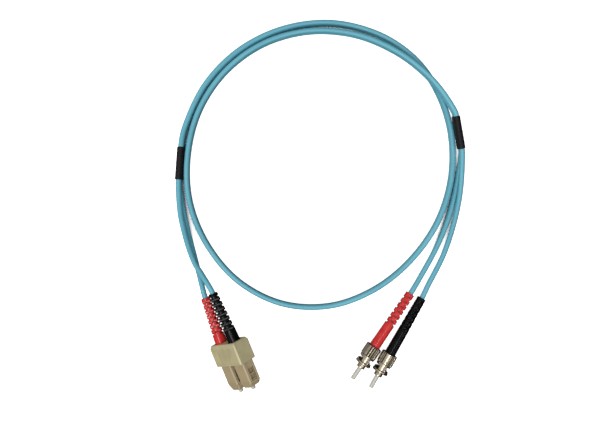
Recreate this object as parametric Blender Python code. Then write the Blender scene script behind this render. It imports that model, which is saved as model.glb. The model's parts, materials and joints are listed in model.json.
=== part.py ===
"""Duplex fibre optic patch cord, one metre from ferrule tip to ferrule tip.

One end is a pair of square push-pull plugs held side by side in a duplex clip.  The other
end is a pair of round bayonet plugs.  Between them runs a two-strand zip cord, laid on edge
in a turn and a half, with a shrink-sleeve band at each place where the zip is split.

Each plug is modelled in its own frame: +Z points out of the plug towards what it mates
with.  A square plug's X runs across the pair and its Y through the pair's thickness.
A bayonet plug's Y points up.  Lengths are written in millimetres and scaled by MM.
"""
import math

import bmesh
import bpy
from mathutils import Matrix, Vector

MM = 0.001

# ---------------------------------------------------------------- clearances (mm)
SEAT = 0.3             # between faces that rest on each other
SNUG = 0.15            # round a piece that is clipped or crimped in place
PRESS = 0.1            # round a ferrule pressed into its holder
RUN = 0.2              # round a piece that slides
CUT_OVER = 1.0         # how far a cutter reaches past what it cuts

# ---------------------------------------------------------------- cord (mm)
STRAND_D = 3.0         # one jacketed strand
STRAND_PITCH = 3.1     # between the two strands of the zip
WEB_T = 0.9            # the web that joins them
BUFFER_D = 0.9         # the buffered fibre inside a strand
BUFFER_PLAY = 0.25     # round the fibre in every bore
BAND_L = 18.2          # shrink-sleeve bands at the splits
BAND_WALL = 0.35
BAND_PLAY = 0.2
STRAIGHT_OUT = 1.5     # the strand runs straight this far out of a boot or a band
ZIP_STEP = 19.0        # between the points of the cord's tubes
LEG_STEP = 12.0
LEAN_STEP = 5.0        # where a leg follows a leaning boot

# ---------------------------------------------------------------- ferrules (mm)
FERRULE_D = 2.5
FERRULE_CHAMFER = 0.3

# ---------------------------------------------------------------- square plug (mm)
# z = 0 at the front of the housing, and of the plug frame when it is fully drawn in
PLUG_PITCH = 12.7
HOUSING_W = 9.0
HOUSING_T = 7.4
HOUSING_L = 22.3
HOUSING_WALL = 0.55
HOUSING_EDGE = 0.6
NOSE_CUT_W = 1.7       # slanted front corners of the housing
NOSE_CUT_L = 2.2
WINDOW_L = 7.2         # latch window in each narrow side
WINDOW_W = 3.6
WINDOW_BACK = 2.9      # from the housing's front to the window
KEY_W = 2.4
KEY_H = 0.7
KEY_L = 7.5
KEY_BACK = 4.0
FRAME_L = 18.3
FRAME_EDGE = 0.4
FRAME_CUT_W = 0.5      # slanted front of the plug frame
FRAME_CUT_L = 1.0
FRAME_OUT = {"red": 1.5, "black": 0.0}  # how far each plug stands out of its housing
SLEEVE_BORE_D = 4.6    # takes the adapter's sleeve
SLEEVE_BORE_L = 6.6
WEB_STOP_L = 0.6       # web that the ferrule's flange rests on
LATCH_W = 3.0          # latch pockets of the frame, under the windows
LATCH_DEPTH = 0.8
LATCH_L = 2.4          # each of the two pockets, with a bar between them
PLUG_FERRULE_OUT = 2.3  # beyond the frame's front
PLUG_FERRULE_GRIP = 1.2  # how far the ferrule sits in its flange
FLANGE_WALL = 0.75
FLANGE_L = 2.1
FLANGE_TAIL_WALL = 0.6
FLANGE_TAIL_IN = 1.0   # of the flange's tail, sliding in the backbone
PLUG_SPRING_WIRE = 0.45
PLUG_SPRING_CURLS = 6
BACKBONE_IN = 1.3      # of the backbone, inside the frame's rear end
BACKBONE_COLLAR_D = 5.9
BACKBONE_COLLAR_L = 1.3
BACKBONE_TAIL_D = 3.8
BACKBONE_TAIL_L = 5.0
CRIMP_WALL = 0.3
CRIMP_REAR_L = 3.0
FERRULE_TRAVEL = 1.2   # how far the sprung ferrule is pushed back

# ---------------------------------------------------------------- duplex clip (mm)
CLIP_W = 24.0
CLIP_T = 10.7
CLIP_L = 12.2
CLIP_EDGE = 0.7
CLIP_REAR_WALL = 3.5
CLIP_REAR_CUT_W = 0.7  # slanted rear rim
CLIP_REAR_CUT_L = 1.6
CLIP_PANEL_MARGIN = 4.6
CLIP_PANEL_END = 1.0
CLIP_PANEL_DEPTH = 0.25

# ---------------------------------------------------------------- boots (mm)
NOTCH_GAP = 1.0        # along the boot
NOTCH_W = 5.0          # across it, nearly from side to side
NOTCH_PLANE = 1.45     # flat bottom of a notch, from the boot's axis
TIP_NOTCH = 2.1        # from the boot's tip to the middle of the first notches
BORE_PLAY = 0.2
BOOT_TIP_EDGE = 0.3
PLUG_BOOT_TIP_D = 5.0
PLUG_BOOT_MID_D = 6.4
PLUG_BOOT_BASE_D = 6.8
PLUG_BOOT_L = 28.1     # seen behind the clip
PLUG_BOOT_PLAIN_L = 6.6
PLUG_NOTCH_LEVELS = 14
PLUG_NOTCH_STEP = 1.445
PLUG_BOOT_HIDDEN_L = 0.5
BAYONET_BOOT_TIP_D = 5.0
BAYONET_BOOT_MID_D = 5.8
BAYONET_BOOT_BASE_D = 6.1
BAYONET_BOOT_L = 35.6  # seen behind the nut
BAYONET_BOOT_PLAIN_L = 14.5
BAYONET_NOTCH_LEVELS = 12
BAYONET_NOTCH_STEP = 1.615
BOOT_LEAN = {"red": (2.5, 0.0), "black": (-0.8, 0.5)}  # at the tips, along X and Y
LEAN_SOFTNESS = 6.0    # length over which the lean sets in

# ---------------------------------------------------------------- bayonet plug (mm)
# z = 0 at the ferrule's tip
COLLAR_D = 4.7
COLLAR_BACK = 7.7
COLLAR_L = 3.5
COLLAR_KEY_W = 1.3
COLLAR_KEY_R = 3.05
COLLAR_KEY_BACK = 0.9  # from the collar's front
STOP_D = 6.6
STOP_L = 1.4
SPINDLE_D = 4.4
SPINDLE_L = 11.7
BAYONET_TAIL_D = 3.5
BAYONET_TAIL_L = 4.9
BARREL_GRIP = 10.2     # how far the ferrule sits in the barrel
NUT_D = 9.2
NUT_BACK = 10.0        # nut's front rim behind the ferrule's tip
NUT_L = 11.9
NUT_BORE_D = 7.3
NUT_KNURL_L = 6.6
NUT_NECK_D = 8.5
NUT_RIM_L = 1.2
NUT_EDGE = 0.3
NUT_WALL_L = 1.1       # rear wall that the spring pushes on
NUT_RECESS_L = 1.5
NUT_RECESS_WALL = 1.1
KNURLS = 20            # grooves round the whole nut
LAND_GROOVES = (6, 7, 16, 17)  # left out, which leaves two smooth lands
KNURL_DEPTH = 0.35
KNURL_GROOVE_W = 0.75
SLOT_W = 2.1
SLOT_SWEEP = 75.0      # degrees
SLOT_RISE = 1.4
SLOT_START = 2.5       # from the front rim to the slot's first centre
SLOT_DETENT = 0.3
ENTRY_WALL = 0.45
ENTRY_LEAD = 14.0      # degrees from a slot's first end to its entry
WASHER_L = 0.5
NUT_SPRING_WIRE = 0.5
NUT_SPRING_CURLS = 4
CLIP_RING_L = 0.6
CLIP_RING_GROOVE = 0.35
CLIP_RING_STAND = 0.9  # how far it stands out of its groove
CLIP_RING_GAP = 50.0   # degrees

ROUND = 20             # sides of a turned piece
SMALL = 14             # sides of a small or hidden one
FINE = 40              # sides of the nut, two for each knurl

# ---------------------------------------------------------------- places (mm, degrees)
PLUG_PAIR_AT = (-47.56, 0.30)       # middle of the clip's rear face, over the table
PLUG_PAIR_HEADING = -68.0
PLUG_PAIR_ROLL = 48.6
PLUG_PAIR_PITCH = 3.5              # nose down
PLUG_NOTCH_TURN = {"red": 45.0, "black": -48.6}
BAYONET_NOTCH_TURN = {"red": 90, "black": 45}
BAYONET_RED_TIP = (21.26, -21.97)
BAYONET_RED_HEADING = -124.25
BAYONET_BLACK_TIP = (31.42, -26.81)
BAYONET_BLACK_HEADING = -119.8
NUT_TURN = {"red": 22.0, "black": -20.0}

# The loop, about its middle: direction from +X (degrees), radius and height of the
# zip's middle.  The first pass lies outside over the top and inside down the right,
# where the second pass climbs over it.
LOOP_MIDDLE = (3.23, 97.42)
LOOP = [
    (165, 78.5, 3.1), (145, 78.3, 3.1), (125, 78.4, 3.1), (105, 78.8, 3.1),
    (85, 79.6, 3.1), (65, 79.9, 3.1), (48, 79.5, 3.1), (33, 77.8, 3.1),
    (15, 75.6, 3.1), (-5, 73.8, 3.1), (-25, 73.1, 3.1), (-45, 73.5, 3.1),
    (-65, 75.8, 3.1), (-85, 78.9, 3.1), (-105, 80.4, 3.1), (-125, 79.5, 3.1),
    (-145, 77.3, 3.1), (-165, 75.7, 3.1), (-185, 74.2, 3.1), (-205, 74.2, 3.1),
    (-225, 74.4, 3.2), (-245, 74.5, 4.4), (-265, 74.2, 6.4), (-285, 74.1, 8.4),
    (-303, 74.6, 9.7), (-317, 76.0, 10.0), (-328, 77.6, 9.9),
]

# Middle of each band, its direction along the cord from the plugs' end, and its slope.
PLUG_BAND = {"at": (-75.07, 98.27, 3.6), "heading": 85.9, "slope": 0.0}
BAYONET_BAND = {"at": (79.73, 115.17, 7.8), "heading": -78.3, "slope": -8.0}

# Each leg's hand-chosen points, from its boot to its band.
PLUG_RED_LEG = [(-61.17, 28.87, 12.1), (-63.37, 36.37, 10.0), (-65.67, 43.27, 6.8),
                (-68.27, 51.37, 4.0), (-70.87, 60.47, 2.4), (-73.17, 69.67, 1.8),
                (-74.57, 78.07, 1.7)]
PLUG_BLACK_LEG = [(-58.07, 32.97, 19.0), (-61.47, 37.77, 16.6), (-65.27, 42.87, 13.6),
                  (-69.27, 51.37, 9.8), (-72.27, 60.37, 7.2), (-74.47, 69.27, 5.7),
                  (-75.47, 78.07, 5.1)]
BAYONET_RED_LEG = [(59.03, 34.17, 3.6), (69.03, 51.97, 2.0), (76.13, 69.97, 1.6),
                   (80.33, 87.97, 1.8)]
BAYONET_BLACK_LEG = [(63.33, 29.77, 4.4), (72.63, 47.57, 2.8), (78.53, 65.47, 2.6),
                     (81.63, 83.37, 4.3)]


# ================================================================ helpers
def clear_scene():
    for item in list(bpy.data.objects):
        bpy.data.objects.remove(item, do_unlink=True)


def finish(name, colour, roughness, metallic=0.0):
    """A plain Principled finish."""
    material = bpy.data.materials.new(name)
    material.use_nodes = True
    shader = material.node_tree.nodes["Principled BSDF"]
    shader.inputs["Base Color"].default_value = (*colour, 1.0)
    shader.inputs["Roughness"].default_value = roughness
    shader.inputs["Metallic"].default_value = metallic
    return material


def to_mesh(bm, name):
    bmesh.ops.recalc_face_normals(bm, faces=bm.faces)
    mesh = bpy.data.meshes.new(name)
    bm.to_mesh(mesh)
    bm.free()
    return mesh


def turned(name, profile, sides=ROUND, solid=False):
    """Turns a profile of (radius, z) once round Z.

    A closed profile gives a tube.  With solid, the profile is the outside only and its
    two ends are closed with flat faces.
    """
    bm = bmesh.new()
    verts = [bm.verts.new((r * MM, 0.0, z * MM)) for r, z in profile]
    edges = [bm.edges.new(pair) for pair in zip(verts, verts[1:])]
    if not solid:
        edges.append(bm.edges.new((verts[-1], verts[0])))
    bmesh.ops.spin(bm, geom=verts + edges, cent=(0, 0, 0), axis=(0, 0, 1),
                   angle=2 * math.pi, steps=sides, use_merge=True)
    bmesh.ops.remove_doubles(bm, verts=bm.verts, dist=1e-7)
    if solid:
        bmesh.ops.holes_fill(bm, edges=bm.edges, sides=0)
    return to_mesh(bm, name)


def lofted(name, rings):
    """Skins rings of (x, y, z) points and closes both ends with flat faces."""
    bm = bmesh.new()
    loops = [[bm.verts.new(Vector(p) * MM) for p in ring] for ring in rings]
    for low, high in zip(loops, loops[1:]):
        for k in range(len(low)):
            n = (k + 1) % len(low)
            bm.faces.new((low[k], low[n], high[n], high[k]))
    bm.faces.new(loops[0])
    bm.faces.new(loops[-1])
    return to_mesh(bm, name)


def outline(width, depth, edge, z):
    """A rectangle with slanted corners, centred on the axis at height z."""
    x, y = width / 2, depth / 2
    return [(x, edge - y, z), (x, y - edge, z), (x - edge, y, z), (edge - x, y, z),
            (-x, y - edge, z), (-x, edge - y, z), (edge - x, -y, z), (x - edge, -y, z)]


def boxes(name, corners):
    """One mesh of separate boxes, each given by its lowest and highest corner."""
    bm = bmesh.new()
    for low, high in corners:
        size = Vector(high) - Vector(low)
        middle = (Vector(high) + Vector(low)) / 2
        move = Matrix.Translation(middle * MM) @ Matrix.Diagonal((*(size * MM), 1.0))
        bmesh.ops.create_cube(bm, size=1.0, matrix=move)
    return to_mesh(bm, name)


def carved(body, tool, operation="DIFFERENCE"):
    """The body cut by, or joined to, the tool with an exact Boolean."""
    body_object = bpy.data.objects.new("body", body)
    tool_object = bpy.data.objects.new("tool", tool)
    for item in (body_object, tool_object):
        bpy.context.scene.collection.objects.link(item)
    modifier = body_object.modifiers.new("cut", "BOOLEAN")
    modifier.operation = operation
    modifier.solver = "EXACT"
    modifier.object = tool_object
    bpy.context.view_layer.update()
    seen = body_object.evaluated_get(bpy.context.evaluated_depsgraph_get())
    result = bpy.data.meshes.new_from_object(seen)
    for item in (body_object, tool_object):
        bpy.data.objects.remove(item, do_unlink=True)
    result.name = body.name
    return result


def station(name, at, across, up, forward):
    """An empty that carries a plug's own frame."""
    empty = bpy.data.objects.new(name, None)
    axes = Matrix((across, up, forward)).transposed().to_4x4()
    empty.matrix_world = Matrix.Translation(Vector(at) * MM) @ axes
    bpy.context.scene.collection.objects.link(empty)
    return empty


def place(name, mesh, material, carrier):
    """Puts a copy of a mesh in a plug's frame, shaded smooth but for its sharp edges."""
    item = bpy.data.objects.new(name, mesh.copy())
    item.data.materials.clear()
    item.data.materials.append(material)
    item.data.shade_smooth()
    item.data.set_sharp_from_angle(angle=math.radians(35))
    item.parent = carrier
    bpy.context.scene.collection.objects.link(item)
    return item


def coil(name, radius, wire, low, high, curls, material, carrier):
    """A compression spring between the heights low and high, its wire from the formula."""
    per_curl = 8
    count = round(curls * per_curl)
    curve = bpy.data.curves.new(name, "CURVE")
    curve.dimensions = "3D"
    curve.bevel_depth = wire / 2 * MM
    curve.bevel_resolution = 1
    curve.use_fill_caps = True
    line = curve.splines.new("POLY")
    line.points.add(count)
    start, rise = low + wire / 2, high - low - wire
    for k, point in enumerate(line.points):
        turn = 2 * math.pi * k / per_curl
        point.co = (radius * math.cos(turn) * MM, radius * math.sin(turn) * MM,
                    (start + rise * k / count) * MM, 1.0)
    item = bpy.data.objects.new(name, curve)
    curve.materials.append(material)
    item.parent = carrier
    bpy.context.scene.collection.objects.link(item)
    print(f"{name}: gap between curls {rise / curls - wire:.2f} mm")
    return item


# ================================================================ routes
def smooth_curve(points):
    """A fine smooth (centripetal) curve through the route's own points."""
    pts = [Vector(p) for p in points]
    pts = [2 * pts[0] - pts[1]] + pts + [2 * pts[-1] - pts[-2]]
    dense = []
    for p0, p1, p2, p3 in zip(pts, pts[1:], pts[2:], pts[3:]):
        t1 = math.sqrt((p1 - p0).length)
        t2 = t1 + math.sqrt((p2 - p1).length)
        t3 = t2 + math.sqrt((p3 - p2).length)
        for k in range(24):
            t = t1 + (t2 - t1) * k / 24
            a1 = p0 * ((t1 - t) / t1) + p1 * (t / t1)
            a2 = p1 * ((t2 - t) / (t2 - t1)) + p2 * ((t - t1) / (t2 - t1))
            a3 = p2 * ((t3 - t) / (t3 - t2)) + p3 * ((t - t2) / (t3 - t2))
            b1 = a1 * ((t2 - t) / t2) + a2 * (t / t2)
            b2 = a2 * ((t3 - t) / (t3 - t1)) + a3 * ((t - t1) / (t3 - t1))
            dense.append(b1 * ((t2 - t) / (t2 - t1)) + b2 * ((t - t1) / (t2 - t1)))
    dense.append(pts[-2])
    return dense


def even_points(dense, step):
    """Points at even distances along a fine curve."""
    along = [0.0]
    for p, q in zip(dense, dense[1:]):
        along.append(along[-1] + (q - p).length)
    count = max(2, round(along[-1] / step))
    result, k = [], 0
    for n in range(count + 1):
        want = along[-1] * n / count
        while k < len(dense) - 2 and along[k + 1] < want:
            k += 1
        share = (want - along[k]) / (along[k + 1] - along[k])
        result.append(dense[k].lerp(dense[k + 1], share))
    return result


def length_of(points):
    return sum((q - p).length for p, q in zip(points, points[1:]))


def band_direction(band):
    heading, slope = math.radians(band["heading"]), math.radians(band["slope"])
    return Vector((math.cos(heading) * math.cos(slope),
                   math.sin(heading) * math.cos(slope), math.sin(slope)))


def band_point(band, along, strand=0):
    """A point of the cord inside a band; strand is +1 on the upper strand, -1 below."""
    middle = Vector(band["at"]) + band_direction(band) * along
    return middle + Vector((0, 0, strand * STRAND_PITCH / 2))


def zip_route():
    """The zip's middle from one split to the other."""
    out = BAND_L / 2 + STRAIGHT_OUT
    points = [band_point(PLUG_BAND, a) for a in (SEAT / 2, BAND_L / 2, out)]
    for direction, radius, height in LOOP:
        angle = math.radians(direction)
        points.append(Vector((LOOP_MIDDLE[0] + radius * math.cos(angle),
                              LOOP_MIDDLE[1] + radius * math.sin(angle), height)))
    points += [band_point(BAYONET_BAND, a) for a in (-out, -BAND_L / 2, -SEAT / 2)]
    return points, (points[2], points[-3])


def leg_points(carrier, heights, chosen, band, strand, side, lean):
    """A leg's route: inside its boot, its chosen points, and inside the band.

    side is -1 where the band's own direction leads away from the leg, or 1.
    """
    end, mouth = heights["leg_end"], heights["boot_tip"] - STRAIGHT_OUT
    inside = [Vector((0, 0, end + (mouth - end) * k / 8)) for k in range(9)]
    if lean:
        inside = [leaned(point, lean, heights["clip_rear"], heights["boot_tip"])
                  for point in inside]
    inside = [carrier.matrix_world @ (point * MM) / MM for point in inside]
    outer = [band_point(band, side * a, strand)
             for a in (BAND_L / 2 + STRAIGHT_OUT, BAND_L / 2, SEAT / 2)]
    return inside + [Vector(p) for p in chosen] + outer, (inside[-1], outer[0])


def sampled(curve, corners, steps):
    """Points along a curve, spaced evenly between the corners, which are kept.

    A step of None leaves a straight piece with its two ends only.
    """
    cuts = [min(range(len(curve)), key=lambda k: (curve[k] - corner).length)
            for corner in corners]
    cuts = [0] + cuts + [len(curve) - 1]
    points = [curve[0]]
    for first, last, step in zip(cuts, cuts[1:], steps):
        piece = curve[first:last + 1]
        points += even_points(piece, step)[1:] if step else [piece[-1]]
    return points


def tube(name, points, material, depth=0.0, section=None, caps=True):
    """A cord's solid: a poly curve with a round or a drawn section, upright all along."""
    curve = bpy.data.curves.new(name, "CURVE")
    curve.dimensions = "3D"
    curve.twist_mode = "Z_UP"
    if section is None:
        curve.bevel_depth = depth * MM
        curve.bevel_resolution = 2
    else:
        curve.bevel_mode = "OBJECT"
        curve.bevel_object = section
    curve.use_fill_caps = caps
    line = curve.splines.new("POLY")
    line.points.add(len(points) - 1)
    for point, place_at in zip(line.points, points):
        point.co = (*(place_at * MM), 1.0)
    curve.materials.append(material)
    item = bpy.data.objects.new(name, curve)
    bpy.context.scene.collection.objects.link(item)
    return item


def section_curve(name, points):
    """A closed drawn section that a tube follows; it is a guide and isn't built."""
    curve = bpy.data.curves.new(name, "CURVE")
    curve.dimensions = "2D"
    line = curve.splines.new("POLY")
    line.points.add(len(points) - 1)
    for point, (x, y) in zip(line.points, points):
        point.co = (x * MM, y * MM, 0.0, 1.0)
    line.use_cyclic_u = True
    item = bpy.data.objects.new(name, curve)
    item.hide_render = True
    item.display_type = "WIRE"
    bpy.context.scene.collection.objects.link(item)
    return item


def zip_section():
    """The figure of eight: two strands one above the other, joined by the web."""
    radius, per_strand = STRAND_D / 2, 8
    web = math.asin(WEB_T / 2 / radius)
    points = []
    for side in (1, -1):
        for k in range(per_strand):
            turn = -math.pi / 2 + web + (2 * math.pi - 2 * web) * k / (per_strand - 1)
            x, y = radius * math.cos(turn), radius * math.sin(turn)
            points.append((side * x, side * (y + STRAND_PITCH / 2)))
    return points[::-1]


def band_section():
    """The band's bore: an upright oval round both strands."""
    radius, per_end = STRAND_D / 2 + BAND_PLAY, 7
    points = []
    for side in (1, -1):
        for k in range(per_end):
            turn = math.pi * k / (per_end - 1)
            x, y = radius * math.cos(turn), radius * math.sin(turn)
            points.append((side * x, side * (y + STRAND_PITCH / 2)))
    return points[::-1]


def cord_gap(corners, step=2.0, reach=30.0):
    """The least gap of the zip's tube to itself, its strands taken as upright capsules.

    Points nearer than reach along the cord are left out.
    """
    points = even_points(corners, step)
    least = 1e9
    for i, p in enumerate(points):
        for q in points[i + round(reach / step):]:
            flat = math.hypot(p.x - q.x, p.y - q.y)
            apart = max(0.0, abs(p.z - q.z) - STRAND_PITCH)
            least = min(least, math.hypot(flat, apart) - STRAND_D)
    return least


# ================================================================ square plug
def layout_square_plug():
    """Heights and radii along a square plug, from the front backwards."""
    z = {}
    z["ferrule_tip"] = PLUG_FERRULE_OUT
    z["web_front"] = -SLEEVE_BORE_L
    z["web_rear"] = z["web_front"] - WEB_STOP_L
    z["flange_front"] = z["web_rear"] - SEAT
    z["flange_rear"] = z["flange_front"] - FLANGE_L
    z["ferrule_end"] = z["flange_front"] - PLUG_FERRULE_GRIP
    z["backbone_front"] = BACKBONE_IN - FRAME_L
    z["flange_end"] = z["backbone_front"] - FLANGE_TAIL_IN
    z["spring_front"] = z["flange_rear"] - SEAT
    z["spring_rear"] = z["backbone_front"] + SEAT
    z["collar_front"] = -FRAME_L - SEAT
    z["collar_rear"] = z["collar_front"] - BACKBONE_COLLAR_L
    z["tail_end"] = z["collar_rear"] - BACKBONE_TAIL_L
    z["crimp_front"] = z["collar_rear"] - 1.5 * SEAT
    z["crimp_step"] = z["tail_end"] - SEAT
    z["crimp_end"] = z["crimp_step"] - CRIMP_REAR_L
    z["leg_end"] = z["crimp_step"] - SEAT
    z["fibre_rear"] = z["leg_end"] + SEAT
    z["fibre_front"] = z["ferrule_end"] - FERRULE_TRAVEL - SEAT
    z["boot_front"] = z["collar_rear"] - SEAT
    z["clip_wall"] = -HOUSING_L - SEAT
    z["clip_rear"] = z["clip_wall"] - CLIP_REAR_WALL
    z["clip_front"] = z["clip_rear"] + CLIP_L
    z["boot_shoulder"] = z["clip_rear"] + PLUG_BOOT_HIDDEN_L
    z["ribs"] = z["clip_rear"] - PLUG_BOOT_PLAIN_L
    z["boot_tip"] = z["clip_rear"] - PLUG_BOOT_L
    r = {}
    r["ferrule"] = FERRULE_D / 2
    r["pocket"] = r["ferrule"] + PRESS
    r["flange"] = r["pocket"] + FLANGE_WALL
    r["fibre"] = BUFFER_D / 2
    r["fibre_bore"] = r["fibre"] + BUFFER_PLAY
    r["tail"] = r["fibre_bore"] + FLANGE_TAIL_WALL
    r["spring"] = r["tail"] + SEAT + PLUG_SPRING_WIRE / 2
    r["rear_bore"] = max(r["flange"], r["spring"] + PLUG_SPRING_WIRE / 2) + SEAT
    r["backbone"] = r["rear_bore"] - SNUG
    r["backbone_bore"] = r["tail"] + RUN
    r["leg_bore"] = STRAND_D / 2 + SNUG
    r["crimp"] = max(BACKBONE_TAIL_D / 2 + SNUG, r["leg_bore"]) + CRIMP_WALL
    r["neck"] = (HOUSING_T / 2 - HOUSING_WALL) - SEAT
    return z, r


def housing_mesh():
    """Outer push-pull housing: slanted front corners, latch windows and a key rib."""
    front = HOUSING_W - 2 * NOSE_CUT_W
    body = lofted("housing", [
        outline(HOUSING_W, HOUSING_T, HOUSING_EDGE, -HOUSING_L),
        outline(HOUSING_W, HOUSING_T, HOUSING_EDGE, -NOSE_CUT_L),
        outline(front, HOUSING_T, HOUSING_EDGE, 0.0)])
    rib_root = HOUSING_T / 2 - HOUSING_WALL / 2
    rib = boxes("rib", [((-KEY_W / 2, -HOUSING_T / 2 - KEY_H, -KEY_BACK - KEY_L),
                         (KEY_W / 2, -rib_root, -KEY_BACK))])
    body = carved(body, rib, "UNION")
    x, y = HOUSING_W / 2 - HOUSING_WALL, HOUSING_T / 2 - HOUSING_WALL
    body = carved(body, boxes("cavity", [((-x, -y, -HOUSING_L - CUT_OVER),
                                           (x, y, CUT_OVER))]))
    window = boxes("window", [((-HOUSING_W, -WINDOW_W / 2, -WINDOW_BACK - WINDOW_L),
                               (HOUSING_W, WINDOW_W / 2, -WINDOW_BACK))])
    return carved(body, window)


def frame_mesh(z, r):
    """Plug frame: slanted front, the adapter sleeve's bore and the latch pockets."""
    width = HOUSING_W - 2 * HOUSING_WALL - 2 * RUN
    depth = HOUSING_T - 2 * HOUSING_WALL - 2 * RUN
    body = lofted("frame", [
        outline(width, depth, FRAME_EDGE, -FRAME_L),
        outline(width, depth, FRAME_EDGE, -FRAME_CUT_L),
        outline(width - 2 * FRAME_CUT_W, depth - FRAME_EDGE, FRAME_EDGE, 0.0)])
    bore, seat, rear = SLEEVE_BORE_D / 2, r["ferrule"] + SEAT, r["rear_bore"]
    body = carved(body, turned("bore", [
        (bore, CUT_OVER), (bore, z["web_front"]), (seat, z["web_front"]),
        (seat, z["web_rear"]), (rear, z["web_rear"]), (rear, -FRAME_L - CUT_OVER)],
        solid=True))
    floor = width / 2 - LATCH_DEPTH
    margin = (WINDOW_L - 2 * LATCH_L) / 3
    pockets = []
    for low in (-WINDOW_BACK - WINDOW_L + margin, -WINDOW_BACK - margin - LATCH_L):
        high = low + LATCH_L
        pockets.append(((floor, -LATCH_W / 2, low), (width, LATCH_W / 2, high)))
        pockets.append(((-width, -LATCH_W / 2, low), (-floor, LATCH_W / 2, high)))
    return carved(body, boxes("pockets", pockets))


def ferrule_mesh(tip, end):
    """Ceramic ferrule with its chamfered tip."""
    radius = FERRULE_D / 2
    return turned("ferrule", [(radius - FERRULE_CHAMFER, tip),
                              (radius, tip - FERRULE_CHAMFER), (radius, end)], solid=True)


def flange_mesh(z, r):
    """Metal flange that holds the ferrule and guides the spring on its tail."""
    pocket_end = z["ferrule_end"] - SEAT
    return turned("flange", [
        (r["pocket"], z["flange_front"]), (r["flange"], z["flange_front"]),
        (r["flange"], z["flange_rear"]), (r["tail"], z["flange_rear"]),
        (r["tail"], z["flange_end"]), (r["fibre_bore"], z["flange_end"]),
        (r["fibre_bore"], pocket_end), (r["pocket"], pocket_end)], sides=SMALL)


def backbone_mesh(z, r):
    """Spring push: closes the frame and carries the crimp."""
    collar, tail = BACKBONE_COLLAR_D / 2, BACKBONE_TAIL_D / 2
    recess = z["flange_end"] - FERRULE_TRAVEL - SEAT
    rib = BACKBONE_TAIL_L / 3
    profile = [(r["backbone_bore"], z["backbone_front"]),
               (r["backbone"], z["backbone_front"]), (r["backbone"], z["collar_front"]),
               (collar, z["collar_front"]), (collar, z["collar_rear"])]
    for k in range(3):
        radius = tail if k % 2 else tail - SNUG
        profile += [(radius, z["collar_rear"] - k * rib),
                    (radius, z["collar_rear"] - (k + 1) * rib)]
    profile += [(r["fibre_bore"], z["tail_end"]), (r["fibre_bore"], recess),
                (r["backbone_bore"], recess)]
    return turned("backbone", profile, sides=SMALL)


def crimp_mesh(front, step, end, inner_front, inner_rear):
    """Crimp ring: wide over the tail, narrow over the jacket."""
    return turned("crimp", [
        (inner_front, front), (inner_front + CRIMP_WALL, front),
        (inner_front + CRIMP_WALL, step), (inner_rear + CRIMP_WALL, step - CRIMP_WALL),
        (inner_rear + CRIMP_WALL, end), (inner_rear, end),
        (inner_rear, step), (inner_front, step)], sides=SMALL)


def fibre_mesh(front, rear):
    """The buffered fibre on its way from the strand to the ferrule."""
    radius = BUFFER_D / 2
    return turned("fibre", [(radius, front), (radius, rear)], sides=8, solid=True)


def boot_mesh(outer, bore_front, bore_step, levels, spacing, turn):
    """Strain relief boot: a tapered tube with pairs of notches down its rear part.

    outer is its outside from the front to the tip.  Each level of notches is turned a
    quarter from the one before; turn is the direction of the pair nearest the tip.
    """
    tip, narrow = outer[-1][1], STRAND_D / 2 + BORE_PLAY
    body = turned("boot", outer + [(narrow, tip), (narrow, bore_step), (bore_front, bore_step),
                                   (bore_front, outer[0][1])], sides=SMALL)
    far = max(radius for radius, height in outer) + CUT_OVER
    cutter = bmesh.new()
    for k in range(levels):
        middle = tip + TIP_NOTCH + k * spacing
        for side in (0, 180):
            quarter = Matrix.Rotation(math.radians(turn + 90 * (k % 2) + side), 4, "Z")
            spot = Matrix.Translation(Vector(((far + NOTCH_PLANE) / 2, 0, middle)) * MM)
            size = Vector((far - NOTCH_PLANE, NOTCH_W, NOTCH_GAP)) * MM
            bmesh.ops.create_cube(cutter, size=1.0,
                                  matrix=quarter @ spot @ Matrix.Diagonal((*size, 1.0)))
    return carved(body, to_mesh(cutter, "notches"))


def taper(wide, narrow, high, low, steps):
    """Radii between the two ends of a cone, without its ends."""
    return [(wide + (narrow - wide) * k / steps, high + (low - high) * k / steps)
            for k in range(1, steps)]


def boot_tip(wide, narrow, ribs, tip):
    """The ribbed end of a boot's outside, with its rounded tip."""
    return [(wide / 2, ribs), (narrow / 2, tip + BOOT_TIP_EDGE),
            (narrow / 2 - BOOT_TIP_EDGE, tip)]


def leaned(point, lean, start, tip):
    """Where a point of a straight boot goes when the boot leans to one side."""
    run = start - point.z
    if run <= 0:
        return point
    full = math.hypot(start - tip, LEAN_SOFTNESS) - LEAN_SOFTNESS
    share = (math.hypot(run, LEAN_SOFTNESS) - LEAN_SOFTNESS) / full
    aside = Vector(lean) * share
    return Vector((point.x + aside.x, point.y + aside.y, point.z + aside.length ** 2 / run / 2))


def leaning(mesh, lean, start, tip):
    """The boot's mesh, leaned behind its plug."""
    bm = bmesh.new()
    bm.from_mesh(mesh)
    bmesh.ops.triangulate(bm, faces=bm.faces)
    for vert in bm.verts:
        vert.co = leaned(vert.co / MM, lean, start, tip) * MM
    return to_mesh(bm, "boot")


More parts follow.
